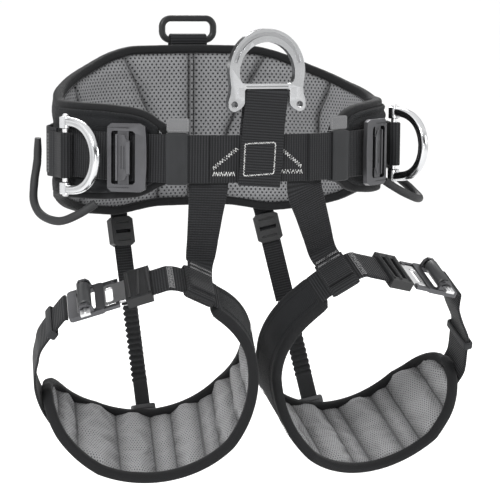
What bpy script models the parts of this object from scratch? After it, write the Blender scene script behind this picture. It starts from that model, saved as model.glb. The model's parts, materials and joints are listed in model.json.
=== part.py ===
"""A tree climbing saddle: padded waist belt, front, side and rear rings, and two padded leg loops.

The wearer faces -Y, +Z is up, and the wearer's left is +X. The origin is the middle of the waist,
at the mid-height of the belt webbing. Angles around the waist start at +X and grow towards the front.
Angles around a leg loop start at its top and grow towards the other leg.
"""

from math import cos, pi, radians, sin

import bmesh
import bpy
from mathutils import Matrix, Vector

MM = 0.001
GAP = 0.3 * MM  # between pieces that touch
SIDES = {"left": 1, "right": -1}

# Waist belt
WAIST_X = 172 * MM  # half width of the webbing's middle line
WAIST_FRONT = 118 * MM
WAIST_REAR = 100 * MM
FRONT_DIP = 4 * MM  # how far the front hangs below the sides
WEBBING_W = 45 * MM
WEBBING_T = 2.4 * MM
LAYER = WEBBING_T + GAP
LINER_IN, LINER_OUT = -15 * MM, -8 * MM  # measured outwards from the webbing's middle line
SHELL_IN, SHELL_OUT = LINER_OUT + GAP, -5 * MM
WING_IN, WING_OUT = SHELL_OUT + GAP, -1.6 * MM
BELT_END = 148  # degrees from the rear centre to each front end
# Top and bottom edges of the belt pad: (degrees from the rear centre, height)
BELT_TOP = ((0, 96), (24, 95), (33, 89), (45, 77), (66, 60), (90, 47),
            (125, 48), (138, 46), (144, 41), (148, 30))
BELT_BOTTOM = ((0, -68), (14, -68), (30, -75), (48, -70), (62, -62), (74, -52),
               (90, -46), (125, -42), (140, -38), (148, -25))
BINDING_R = 4.2 * MM
BINDING_ROUND = 1.3  # how much deeper than tall the binding is, as it wraps both layers
EDGE_INSET = 11 * MM  # from the belt's edge to its layers, inside the binding
WING_INSET = 10 * MM
WING_START = 96

# Side rings
RING_BAR_ANGLE = 70  # degrees from the front centre
RING_BAR_OUT = 7.9 * MM
RING_BAR_R = 3 * MM
RING_BOSS_R = 5.8 * MM
RING_BOSS_Z = 31 * MM
RING_DEPTH = 45 * MM
RING_HALF_H = 32 * MM
RING_LIFT = {"left": 3 * MM, "right": -2 * MM}
RING_SWING = {"left": 44, "right": 6}  # how far each ring stands out from the belt's surface

# Waist buckles
BUCKLE_ANGLE = {"left": 47.5, "right": 43.5}  # degrees from the front centre
BUCKLE_L, BUCKLE_H, BUCKLE_T = 38 * MM, 64 * MM, 4.4 * MM
BUCKLE_OUT = 6.6 * MM

# Front attachment
FRONT_LEAN = 0.075  # how far the front strap leans sideways as it rises
FRONT_STRAP_W = 42 * MM
FRONT_BAR_UP = 60.5 * MM
FRONT_BAR_R = 1.9 * MM
FRONT_RING_T = 10 * MM

# Rear ring
REAR_RING_Z = 100.5 * MM
REAR_RING_HALF_W = 27.5 * MM
REAR_RING_H = 22 * MM
REAR_RING_R = 3.3 * MM

# Leg loops
LEG_WEBBING_W = 40 * MM
LEG_PAD_T = 9 * MM
LEG_SHELL_T = 2.6 * MM
ADJUSTER_AT, BUCKLE_AT = -9.5, 42  # mm along the straight run, from its middle
LEGS = {
    "right": dict(centre=(-90, -50, -204), splay=12.6, tilt=26.2, roll=12.9, half_w=105.4, up=88.7,
                  down=107.8, pad=(46, 68, 108), flat=0, line=(14, -30), shift=-14, junction=37.5, clip=-170,
                  pad_to=263, keeper=3,
                  strap=((-58, 3), (-66, 3), (-74, 3), (-83, 3), (-92, 3), (-101, 3), (-110, 3))),
    "left": dict(centre=(140, -50, -196), splay=-4.1, tilt=28.2, roll=5.6, half_w=109.7, up=92.8,
                 down=127.2, pad=(45, 48, 106), flat=0.13, line=(8, -38), shift=-2, junction=26, clip=169,
                 pad_to=248, keeper=9,
                 strap=((-62, -2), (-75, -5), (-88, -5), (-98, -3), (-108, 3), (-114, 3.2), (-120, 3.2))),
}
STRAIGHT = 30  # degrees each side of the buckle's middle where the webbing is straight
EASE = 64  # degrees from there to where the loop is round again
PAD_START = 13  # degrees past the junction
PAD_ROUND = 17  # degrees of the pad's rounded outer end

# Rear risers
RISER_ANGLE = 27.3  # degrees from the rear centre
RISER_W = 20 * MM
RISER_T = 2 * MM

COLOURS = {
    "fabric": ((0.028, 0.029, 0.031), 0.9, 0.0),
    "webbing": ((0.035, 0.036, 0.039), 0.75, 0.0),
    "mesh": ((0.2, 0.2, 0.205), 0.95, 0.0),
    "tab": ((0.12, 0.12, 0.125), 0.8, 0.0),
    "anodised": ((0.09, 0.09, 0.095), 0.4, 0.8),
    "aluminium": ((0.75, 0.76, 0.77), 0.22, 1.0),
    "plastic": ((0.02, 0.02, 0.022), 0.45, 0.0),
    "grey_plastic": ((0.14, 0.14, 0.145), 0.5, 0.0),
}


def clear_scene():
    for obj in list(bpy.data.objects):
        bpy.data.objects.remove(obj, do_unlink=True)


def material(name):
    found = bpy.data.materials.get(name)
    if found:
        return found
    colour, roughness, metallic = COLOURS[name]
    made = bpy.data.materials.new(name)
    made.use_nodes = True
    shader = made.node_tree.nodes["Principled BSDF"]
    shader.inputs["Base Color"].default_value = (*colour, 1)
    shader.inputs["Roughness"].default_value = roughness
    shader.inputs["Metallic"].default_value = metallic
    return made


def add(name, bm, look, frame=None):
    """Makes the named object from bm, whose points are local to frame."""
    bmesh.ops.recalc_face_normals(bm, faces=bm.faces)
    mesh = bpy.data.meshes.new(name)
    bm.to_mesh(mesh)
    bm.free()
    mesh.shade_smooth()
    mesh.set_sharp_from_angle(angle=radians(35))
    obj = bpy.data.objects.new(name, mesh)
    obj.matrix_world = frame or Matrix()
    mesh.materials.append(material(look))
    bpy.context.collection.objects.link(obj)
    return obj


def skin(rings, closed=False):
    """A closed body through rings of points that have the same count."""
    bm = bmesh.new()
    rows = [[bm.verts.new(p) for p in ring] for ring in rings]
    count = len(rows[0])
    pairs = list(zip(rows, rows[1:] + rows[:1])) if closed else list(zip(rows, rows[1:]))
    for a, b in pairs:
        for i in range(count):
            j = (i + 1) % count
            bm.faces.new((a[i], a[j], b[j], b[i]))
    if not closed:
        bm.faces.new(rows[0][::-1])
        bm.faces.new(rows[-1])
    return bm


def tangents(points, closed=False):
    last = len(points) - 1
    found = []
    for i in range(len(points)):
        before = points[i - 1] if closed or i > 0 else points[i]
        after = points[(i + 1) % len(points)] if closed or i < last else points[i]
        found.append((after - before).normalized())
    return found


def ribbon(points, across, width, thickness, out=0.0, closed=False):
    """A flat strap along points. across runs over its width, and out lifts it along its normal."""
    rings = []
    for i, (p, t) in enumerate(zip(points, tangents(points, closed))):
        side = across[i] if isinstance(across, list) else across
        wide = width[i] if isinstance(width, list) else width
        side = (side - t * side.dot(t)).normalized()
        normal = side.cross(t)
        low, high = out - thickness / 2, out + thickness / 2
        rings.append([p + side * (s * wide / 2) + normal * h
                      for s, h in ((-1, low), (1, low), (1, high), (-1, high))])
    return skin(rings, closed)


def tube(points, radius, sides=8, closed=False, flat=1.0, up=None):
    """A round or oval bar along points. flat scales it along up."""
    up = up or Vector((0, 0, 1))
    rings = []
    for i, (p, t) in enumerate(zip(points, tangents(points, closed))):
        steady = up[i] if isinstance(up, list) else up
        normal = (steady - t * steady.dot(t)).normalized()
        side = t.cross(normal)
        rings.append([p + side * (radius * cos(a)) + normal * (radius * flat * sin(a))
                      for a in (2 * pi * (k + 0.5) / sides for k in range(sides))])
    return skin(rings, closed)


def plate(outline, thickness, holes=(), centre=0.0):
    """A flat plate in the XY plane, with holes."""
    bm = bmesh.new()
    edges = []
    for loop in (outline, *holes):
        verts = [bm.verts.new((x, y, centre - thickness / 2)) for x, y in loop]
        edges += [bm.edges.new((a, b)) for a, b in zip(verts, verts[1:] + verts[:1])]
    bmesh.ops.triangle_fill(bm, edges=edges, use_beauty=True)
    made = bmesh.ops.extrude_face_region(bm, geom=bm.faces[:])
    moved = [v for v in made["geom"] if isinstance(v, bmesh.types.BMVert)]
    bmesh.ops.translate(bm, verts=moved, vec=(0, 0, thickness))
    return bm


def block(x, y, z):
    """A box between pairs of limits."""
    bm = bmesh.new()
    bmesh.ops.create_cube(bm, size=1.0)
    size = Matrix.Diagonal((x[1] - x[0], y[1] - y[0], z[1] - z[0], 1))
    middle = Matrix.Translation(((x[0] + x[1]) / 2, (y[0] + y[1]) / 2, (z[0] + z[1]) / 2))
    bm.transform(middle @ size)
    return bm


def rod(start, end, radius, sides=16):
    start, end = Vector(start), Vector(end)
    up = Vector((0, 0, 1)) if abs((end - start).normalized().z) < 0.9 else Vector((1, 0, 0))
    return tube([start, end], radius, sides, up=up)


def rounded(width, height, radius, centre=(0, 0), steps=3):
    """The corners of a rectangle with round corners."""
    points = []
    for k, (sx, sy) in enumerate(((1, 1), (-1, 1), (-1, -1), (1, -1))):
        middle = (centre[0] + sx * (width / 2 - radius), centre[1] + sy * (height / 2 - radius))
        for step in range(steps + 1):
            angle = pi / 2 * (k + step / steps)
            points.append((middle[0] + radius * cos(angle), middle[1] + radius * sin(angle)))
    return points


def combine(target, bm, operation, name):
    """Cuts bm from target or joins it on, with the tool kept as a hidden guide."""
    tool = add(name, bm, "plastic", target.matrix_world.copy())
    tool.hide_render = True
    tool.display_type = "WIRE"
    step = target.modifiers.new(name, "BOOLEAN")
    step.operation = operation
    step.object = tool
    step.solver = "EXACT"


def ease(a, b, x):
    t = min(max((x - a) / (b - a), 0), 1)
    return t * t * (3 - 2 * t)


def along(table, x):
    """The value of a table of (place, value) pairs at x, in straight runs."""
    for (x0, y0), (x1, y1) in zip(table, table[1:]):
        if x <= x1:
            return y0 + (y1 - y0) * (x - x0) / (x1 - x0)
    return table[-1][1]


# ---------------------------------------------------------------- waist belt

def waist(angle, out=0.0, z=0.0):
    """A point of the belt, at an angle in degrees, moved outwards and up."""
    a = radians(angle)
    depth = WAIST_FRONT if sin(a) > 0 else WAIST_REAR
    normal = Vector((cos(a) / WAIST_X, -sin(a) / depth, 0)).normalized()
    level = Vector((0, 0, z - FRONT_DIP * max(0, sin(a))))
    return Vector((WAIST_X * cos(a), -depth * sin(a), 0)) + normal * out + level


def waist_frame(side, from_front, out=0.0, z=0.0):
    """Axes on the belt's outer face: x towards the front centre, y up, z outwards."""
    angle = 90 - side * from_front
    point = waist(angle, out, z)
    forward = (waist(angle + side, out) - waist(angle - side, out)).normalized()
    forward.z = 0
    forward.normalize()
    up = Vector((0, 0, 1))
    outward = forward.cross(up)
    flip = 1 if outward.dot(point) > 0 else -1
    axes = Matrix((forward, up, outward * flip)).transposed().to_4x4()
    return Matrix.Translation(point) @ axes


def span(start, end, step):
    count = max(1, round(abs(end - start) / step))
    return [start + (end - start) * k / count for k in range(count + 1)]


def belt_edge(table, from_rear):
    return along(table, abs(from_rear)) * MM


def belt_layer(name, low, high, look, inset):
    rings = []
    for a in span(-BELT_END + 3, BELT_END - 3, 6):
        bottom, top = belt_edge(BELT_BOTTOM, a) + inset, belt_edge(BELT_TOP, a) - inset
        rings.append([waist(270 + a, low, bottom), waist(270 + a, low, top),
                      waist(270 + a, high, top), waist(270 + a, high, bottom)])
    add(name, skin(rings), look)


def belt_pads():
    belt_layer("belt_liner", LINER_IN, LINER_OUT, "mesh", EDGE_INSET)
    belt_layer("belt_shell", SHELL_IN, SHELL_OUT, "fabric", EDGE_INSET)
    middle = (LINER_IN + SHELL_OUT) / 2
    tip = BELT_END + 1.2
    turns = span(-BELT_END, BELT_END, 6)
    edge = [(a, belt_edge(BELT_TOP, a) - BINDING_R) for a in turns] + [(tip, 0)]
    edge += [(a, belt_edge(BELT_BOTTOM, a) + BINDING_R) for a in reversed(turns)] + [(-tip, 0)]
    path = [waist(270 + a, middle, z) for a, z in edge]
    outwards = [(waist(270 + a, 1) - waist(270 + a, 0)).normalized() for a, z in edge]
    add("belt_binding", tube(path, BINDING_R, 6, closed=True, flat=BINDING_ROUND, up=outwards), "fabric")
    for word, side in SIDES.items():
        rings = []
        for a in span(WING_START, BELT_END - 4, 4):
            bottom = belt_edge(BELT_BOTTOM, a) + WING_INSET
            top = belt_edge(BELT_TOP, a) - WING_INSET
            angle = 270 + side * a
            rings.append([waist(angle, WING_IN, bottom), waist(angle, WING_IN, top),
                          waist(angle, WING_OUT, top), waist(angle, WING_OUT, bottom)])
        add(f"wing_pad_{word}", skin(rings), "fabric")


def belt_webbing():
    up = Vector((0, 0, 1))

    def rear_out(a):
        return 2 * LAYER - (2 * LAYER - SHELL_OUT - LAYER / 2 - GAP) * ease(-96, -82, -abs(a))

    points = [waist(270 + a, rear_out(a)) for a in span(-103, 103, 4)]
    add("rear_webbing", ribbon(points, up, WEBBING_W, WEBBING_T), "webbing")
    points = [waist(a) for a in span(60, 120, 4)]
    add("front_webbing", ribbon(points, up, WEBBING_W, WEBBING_T), "webbing")
    for word, side in SIDES.items():
        points = [waist(90 - side * a, LAYER * ease(37, 31, a)) for a in span(17, 76, 3)]
        add(f"side_webbing_{word}", ribbon(points, up, WEBBING_W, WEBBING_T), "webbing")


def sleeve(width, thickness, length, wall):
    """A rectangular sleeve whose hole runs along x."""
    bm = bmesh.new()
    rows = []
    for x in (-length / 2, length / 2):
        for grow in (0, wall):
            w, t = width / 2 + grow, thickness / 2 + grow
            rows.append([bm.verts.new((x, y, z)) for y, z in ((-w, -t), (w, -t), (w, t), (-w, t))])
    inner_a, outer_a, inner_b, outer_b = rows
    for one, two in ((inner_a, inner_b), (outer_a, outer_b), (inner_a, outer_a), (inner_b, outer_b)):
        for i in range(4):
            j = (i + 1) % 4
            bm.faces.new((one[i], one[j], two[j], two[i]))
    return bm


KEEPERS = {"left": 29, "right": 27}  # degrees from the front centre


def belt_keepers():
    for word, side in SIDES.items():
        frame = waist_frame(side, KEEPERS[word], LAYER / 2)
        bm = sleeve(WEBBING_W + 2 * GAP, 2 * LAYER + 2.2 * MM, 20 * MM, 1.6 * MM)
        add(f"belt_keeper_{word}", bm, "webbing", frame)
        tab = block((-11 * MM, 11 * MM), (0, 15 * MM), (-0.9 * MM, 0.9 * MM))
        place = frame @ Matrix.Translation((0, WEBBING_W / 2 + 2.6 * MM, 2 * MM))
        add(f"keeper_tab_{word}", tab, "tab", place)


def waist_buckles():
    arm = 7 * MM
    window_x = (-15 * MM, 8 * MM)
    window_y = BUCKLE_H / 2 - arm
    for word, side in SIDES.items():
        frame = waist_frame(side, BUCKLE_ANGLE[word], BUCKLE_OUT)
        hole = rounded(window_x[1] - window_x[0], 2 * window_y, 2 * MM, (sum(window_x) / 2, 0))
        body = add(f"waist_buckle_{word}",
                   plate(rounded(BUCKLE_L, BUCKLE_H, 5 * MM), BUCKLE_T, [hole]), "anodised", frame)
        groove = block(window_x, (-window_y - 4 * MM, window_y + 4 * MM), (-1.3 * MM, 1.3 * MM))
        combine(body, groove, "DIFFERENCE", f"buckle_groove_{word}")
        bar_plate = plate(rounded(14 * MM, 44 * MM, 3 * MM), BUCKLE_T, centre=0.6 * MM)
        bar = add(f"waist_buckle_bar_{word}", bar_plate, "anodised", frame @ Matrix.Translation((-4 * MM, 0, 0)))
        runner = block((-6 * MM, 6 * MM), (-window_y - 3.4 * MM, window_y + 3.4 * MM), (-0.9 * MM, 0.9 * MM))
        combine(bar, runner, "UNION", f"bar_runner_{word}")


def side_rings():
    for word, side in SIDES.items():
        base = waist_frame(side, RING_BAR_ANGLE, RING_BAR_OUT, RING_LIFT[word])
        bar = rod((0, -RING_BOSS_Z - 8 * MM, 0), (0, RING_BOSS_Z + 8 * MM, 0), RING_BAR_R)
        add(f"side_ring_bar_{word}", bar, "aluminium", base)
        turn = Matrix.Rotation(-radians(RING_SWING[word]), 4, "Y")
        frame = base @ turn
        path = []
        for k in range(25):
            a = pi / 2 - pi * k / 24
            path.append(Vector((RING_DEPTH * abs(cos(a)) ** 0.72, RING_HALF_H * sin(a), 0)))
        ring = add(f"side_ring_{word}", tube(path, 5 * MM, 10, flat=0.82, up=Vector((0, 0, 1))), "aluminium", frame)
        for where in (-1, 1):
            middle = where * RING_BOSS_Z
            boss = rod((0, middle - RING_BOSS_R, 0), (0, middle + RING_BOSS_R, 0), RING_BOSS_R)
            combine(ring, boss, "UNION", f"ring_boss_{word}_{'lower' if where < 0 else 'upper'}")
        hole = rod((0, -60 * MM, 0), (0, 60 * MM, 0), RING_BAR_R + GAP)
        combine(ring, hole, "DIFFERENCE", f"ring_bore_{word}")
        ring_loop(word, side, base)


def ring_loop(word, side, base):
    """Webbing folded round the ring's bar, with the end of the rear webbing between its two legs."""
    bend = RING_BAR_R + 2.5 * GAP + WEBBING_T / 2
    turn = [Vector((bend * cos(a), 0, bend * sin(a))) for a in (radians(-90 + 22.5 * k) for k in range(9))]
    back = (82, 78.5, 75)
    inner = [waist(90 - side * a, LAYER - GAP / 3) for a in back]
    outer = [waist(90 - side * a, 3 * LAYER + GAP) for a in reversed(back)]
    points = inner + [base @ p for p in turn] + outer
    for p in points:
        p.z = base.translation.z
    add(f"side_ring_loop_{word}", ribbon(points, Vector((0, 0, 1)), WEBBING_W - 2 * MM, WEBBING_T), "webbing")


# Where each gear loop runs: degrees from the front centre, out and up
GEAR_LOOPS = {
    "right": ((91, 11.4, 10), (92, 11.6, -12), (91, 15, -32), (86, 19, -50),
              (79, 19, -61), (70, 16, -64), (62, 12, -56), (56, 5.5, -45)),
    "left": ((91, 11.4, 4), (92, 11.6, -14), (90, 17, -32), (85, 29, -45),
             (78, 35, -53), (70, 29, -50), (63, 17, -41), (58, 5.5, -31)),
}


def smooth(points, steps):
    """Points on a smooth curve through the given ones."""
    found = []
    for i in range(len(points) - 1):
        p0 = points[max(i - 1, 0)]
        p1, p2 = points[i], points[i + 1]
        p3 = points[min(i + 2, len(points) - 1)]
        for k in range(steps):
            t = k / steps
            found.append(0.5 * (2 * p1 + (p2 - p0) * t + (2 * p0 - 5 * p1 + 4 * p2 - p3) * t * t
                                + (3 * p1 - p0 - 3 * p2 + p3) * t ** 3))
    return found + [points[-1]]


def gear_loops():
    for word, side in SIDES.items():
        points = [waist(90 - side * a, out * MM, z * MM) for a, out, z in GEAR_LOOPS[word]]
        add(f"gear_loop_{word}", tube(smooth(points, 3), 4 * MM, 8), "plastic")


# ---------------------------------------------------------------- front and rear attachments

def front_frame():
    """Axes at the front centre: x to the wearer's left, y up along the strap, z forwards."""
    axes = Matrix(((1, 0, 0), (0, 0, -1), (0, 1, 0))).to_4x4()
    return Matrix.Translation(waist(90)) @ axes


def front_attachment():
    frame = front_frame()
    bar_frame = frame @ Matrix.Translation((FRONT_LEAN * FRONT_BAR_UP, FRONT_BAR_UP, 1.5 * MM))
    half = FRONT_STRAP_W / 2 + 1.4 * MM
    reach = half + 6 * MM
    bar = rod((-reach, 0, 0), (reach, 0, 0), FRONT_BAR_R)
    add("front_ring_bar", bar, "anodised", bar_frame)

    arch = [(37.5 * MM * cos(a), (21 + 40 * sin(a)) * MM) for a in (pi * k / 20 for k in range(21))]
    left = [(-35 * MM, 6 * MM), (-35.5 * MM, 0)]
    left += [(-38.6 * MM, -7 * MM), (-37.6 * MM, -13 * MM), (-32.4 * MM, -16 * MM), (-27 * MM, -13.5 * MM)]
    left += [(-22.4 * MM, -12.5 * MM), (-22.4 * MM, 5.1 * MM)]
    right = [(-x, y) for x, y in reversed(left)]
    opening = [(27.5 * MM * cos(a), (20 + 28.5 * sin(a)) * MM) for a in (pi * k / 16 for k in range(17))]
    opening += [(-26.5 * MM, 12 * MM), (-23.5 * MM, 9.8 * MM), (23.5 * MM, 9.8 * MM), (26.5 * MM, 12 * MM)]
    holes = [opening]
    for x in (-32.4 * MM, 32.4 * MM):
        holes.append([(x + 3.2 * MM * cos(a), -9.5 * MM + 3.2 * MM * sin(a))
                      for a in (2 * pi * k / 12 for k in range(12))])
    ring = add("front_ring", plate(arch + left + right, FRONT_RING_T, holes), "aluminium", bar_frame)
    bore = rod((-reach - 1 * MM, 0, 0), (reach + 1 * MM, 0, 0), FRONT_BAR_R + GAP)
    combine(ring, bore, "DIFFERENCE", "front_ring_bore")

    bend = FRONT_BAR_R + 0.4 * MM + WEBBING_T / 2
    top = FRONT_BAR_UP
    turn = [Vector((0, top + bend * sin(a), 1.5 * MM + bend * cos(a))) for a in (pi * k / 8 for k in range(9))]
    front = [Vector((0, y * MM, LAYER + 0.2 * MM)) for y in (-26, -10, 10, 30)]
    back = [Vector((0, y * MM, -LAYER - 1.4 * MM)) for y in (30, 10, -10, -24)]
    leaning = [Vector((p.y * FRONT_LEAN, p.y, p.z)) for p in front + turn + back]
    points = [frame @ p for p in leaning]
    add("centre_webbing", ribbon(points, Vector((1, 0, 0)), FRONT_STRAP_W, WEBBING_T), "webbing")


def rear_attachment():
    out = SHELL_OUT + LAYER / 2 + GAP + 3.5 * MM
    middle = Vector((0, WAIST_REAR + out, REAR_RING_Z))
    path = []
    for x, z in rounded(2 * REAR_RING_HALF_W, REAR_RING_H, 9 * MM, (0, REAR_RING_H / 2), 4):
        path.append(Vector((x, 0, z)))
    add("rear_ring", tube(path, REAR_RING_R, 8, closed=True, up=Vector((0, 1, 0))), "plastic",
        Matrix.Translation(middle))
    bend = REAR_RING_R + GAP + WEBBING_T / 2 + 0.4 * MM
    turn = [middle + Vector((0, bend * cos(a), bend * sin(a))) for a in (pi * k / 8 for k in range(9))]
    outer = [Vector((0, middle.y + bend - k * MM, z * MM)) for k, z in ((1.2, 54), (1.2, 70), (0.4, 90))]
    inner = [Vector((0, WAIST_REAR + SHELL_OUT + LAYER / 2 + 1.3 * MM, z * MM)) for z in (86, 70, 54)]
    add("rear_ring_tab", ribbon(outer + turn + inner, Vector((1, 0, 0)), 39 * MM, WEBBING_T), "webbing")


# ---------------------------------------------------------------- leg loops

class Loop:
    """One leg loop: an oval band around an axis that points up and back."""

    def __init__(self, word):
        self.word, self.side = word, SIDES[word]
        self.size = LEGS[word]
        splay, tilt, roll = (radians(self.size[k]) for k in ("splay", "tilt", "roll"))
        self.axis = Vector((sin(splay) * cos(tilt), cos(splay) * cos(tilt), sin(tilt)))
        level = Vector((cos(splay), -sin(splay), 0))
        rise = level.cross(self.axis)
        self.wide = level * cos(roll) + rise * sin(roll)
        self.tall = rise * cos(roll) - level * sin(roll)
        self.centre = Vector(self.size["centre"]) * MM
        inner, outer = self.size["line"]
        self.top = (inner + outer) / 2
        self.line_at = self.oval(self.top) - self.normal(self.top) * 3 * MM
        self.line = (self.oval(outer) - self.oval(inner)).normalized()
        self.pad_from = self.size["junction"] + PAD_START
        self.pad_to = self.size["pad_to"]

    def oval(self, angle):
        a = radians(angle)
        rise = self.size["up"] if cos(a) > 0 else self.size["down"]
        outer_corner = sin(a) < 0 < cos(a)
        pull = 1 + self.size["flat"] * sin(2 * a) if outer_corner else 1
        across = self.wide * (-self.side * self.size["half_w"] * MM * sin(a))
        return self.centre + (across + self.tall * (rise * MM * cos(a))) * pull

    def normal(self, angle):
        tangent = (self.oval(angle + 1) - self.oval(angle - 1)).normalized()
        normal = tangent.cross(self.axis)
        return normal if normal.dot(self.oval(angle) - self.centre) > 0 else -normal

    def straightened(self, angle):
        """How far the buckle's straight run moves the band's middle."""
        from_top = angle - self.top
        point = self.oval(self.top + min(max(from_top, -STRAIGHT), STRAIGHT))
        on_line = self.line_at + self.line * (point - self.line_at).dot(self.line)
        return (on_line - point) * (1 - ease(STRAIGHT, EASE, abs(from_top)))

    def angle_at(self, along_line):
        """The angle whose point lies this far along the straight run."""
        low, high = self.top - STRAIGHT, self.top + STRAIGHT
        for _ in range(30):
            middle = (low + high) / 2
            if (self.point(middle) - self.line_at).dot(self.line) < along_line:
                high = middle
            else:
                low = middle
        return low

    def point(self, angle, across=0.0, out=0.0):
        turned = (angle + 180) % 360 - 180
        return self.oval(turned) + self.straightened(turned) + self.axis * across + self.normal(turned) * out

    def half_width(self, angle):
        near_top, at_side, below = self.size["pad"]
        turned = abs((angle + 180) % 360 - 180)
        table = ((0, near_top), (self.pad_from, near_top), (95, at_side), (140, below), (180, below))
        left = (self.pad_to - angle % 360) / PAD_ROUND
        rounding = 0.3 + 0.7 * (1 - (1 - left) ** 2) ** 0.5 if 0 <= left < 1 else 1
        return along(table, turned) * MM / 2 * rounding

    def frame(self, along_line, out=0.0):
        """Axes on the straight run: x away from the other leg, y along the loop's axis, z outwards."""
        shift = self.size["shift"] * MM
        outward = self.normal(self.top)
        outward = (outward - self.line * outward.dot(self.line)).normalized()
        side = outward.cross(self.line)
        axes = Matrix((self.line, side, outward)).transposed().to_4x4()
        place = self.line_at + self.line * (along_line + shift) + outward * out
        return Matrix.Translation(place) @ axes

    def tangent_frame(self, angle, out=0.0, across=0.0):
        point = self.point(angle, across, out)
        forward = (self.point(angle - 1) - self.point(angle + 1)).normalized()
        outward = self.normal(angle)
        outward = (outward - forward * outward.dot(forward)).normalized()
        axes = Matrix((forward, outward.cross(forward), outward)).transposed().to_4x4()
        return Matrix.Translation(point) @ axes


def leg_band(loop, name, turns, low, high, look, width=None, trim=0.0):
    rings = []
    for a in turns:
        half = (width / 2 if width else loop.half_width(a)) - trim
        rings.append([loop.point(a, -half, low), loop.point(a, half, low),
                      loop.point(a, half, high), loop.point(a, -half, high)])
    return add(f"{name}_{loop.word}", skin(rings), look)


def leg_soft(loop):
    turns = span(loop.pad_from, loop.pad_to - PAD_ROUND, 6)
    turns += [loop.pad_to - left for left in (12, 8, 5, 2.5, 1, 0)]
    pad_out = -LEG_SHELL_T - GAP
    leg_band(loop, "leg_shell", turns, -LEG_SHELL_T, 0, "fabric")
    leg_band(loop, "leg_pad", turns[1:-1], pad_out - LEG_PAD_T, pad_out, "mesh", trim=4 * MM)
    t = WEBBING_T / 2
    inner_end = loop.angle_at((ADJUSTER_AT + loop.size["shift"] + 0.4) * MM)
    leg_band(loop, "leg_top_webbing", span(loop.pad_from - 1, inner_end, 4), -t, t, "webbing", LEG_WEBBING_W)
    ahead = [loop.frame((BUCKLE_AT + x) * MM).translation for x in (20, 24)]
    back = [loop.point(a, 0, out * MM) for a, out in loop.size["strap"]]
    path = smooth(ahead + back, 2)
    add(f"leg_outer_webbing_{loop.word}", ribbon(path, loop.axis, LEG_WEBBING_W, WEBBING_T), "webbing")
    held = loop.size["keeper"]
    forward = (path[held + 1] - path[held - 1]).normalized()
    outward = forward.cross(loop.axis).normalized()
    axes = Matrix((forward, outward.cross(forward), outward)).transposed().to_4x4()
    keeper = sleeve(LEG_WEBBING_W + 2 * GAP, WEBBING_T + 4 * MM, 8 * MM, 1.5 * MM)
    add(f"leg_keeper_{loop.word}", keeper, "webbing", Matrix.Translation(path[held]) @ axes)


def halfway(values, k):
    """The value at k, or the mean of its neighbours where k lies half way between two."""
    return values[int(k)] if k == int(k) else (values[int(k)] + values[int(k) + 1]) / 2


def leg_junction(loop):
    frame = loop.tangent_frame(loop.size["junction"])
    bm = sleeve(LEG_WEBBING_W + 1.4 * MM, WEBBING_T + 3 * MM, 30 * MM, 2.2 * MM)
    add(f"strap_junction_{loop.word}", bm, "webbing", frame)
    top_angle = 90 - loop.side * 16.6
    out = -LAYER - 1.4 * MM
    end = frame @ Vector((0, 0, WEBBING_T + 1.5 * MM + 2.2 * MM + 2 * GAP))
    upper = [waist(top_angle, out, z * MM) for z in (16, 0, -16, -30)]
    lift = frame.to_3x3() @ Vector((0, 1, 0))
    lift = lift if lift.z > 0 else -lift
    outward = frame.to_3x3() @ Vector((0, 0, 1))
    corner = end + lift * 29 * MM + outward * 3 * MM
    path = upper + [upper[-1].lerp(corner, 0.35), upper[-1].lerp(corner, 0.7), corner,
                    end + lift * 12 * MM, end - lift * 16 * MM]
    tangent = (waist(top_angle - 1) - waist(top_angle + 1)).normalized()
    low = frame.to_3x3() @ Vector((1, 0, 0))
    low = low if low.dot(tangent) > 0 else -low
    share = [0, 0, 0, 0.1, 0.5, 0.9, 1, 1, 1]
    across = [tangent.lerp(low, s).normalized() for s in share]
    width = [w * MM for w in (38, 38, 38, 37, 33, 30, 28, 27, 27)]
    smooth_path = smooth(path, 2)
    fine = [k / 2 for k in range(2 * len(path) - 1)]
    across = [halfway(across, k).normalized() for k in fine]
    width = [halfway(width, k) for k in fine]
    add(f"front_leg_strap_{loop.word}", ribbon(smooth_path, across, width, WEBBING_T), "webbing")


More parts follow.
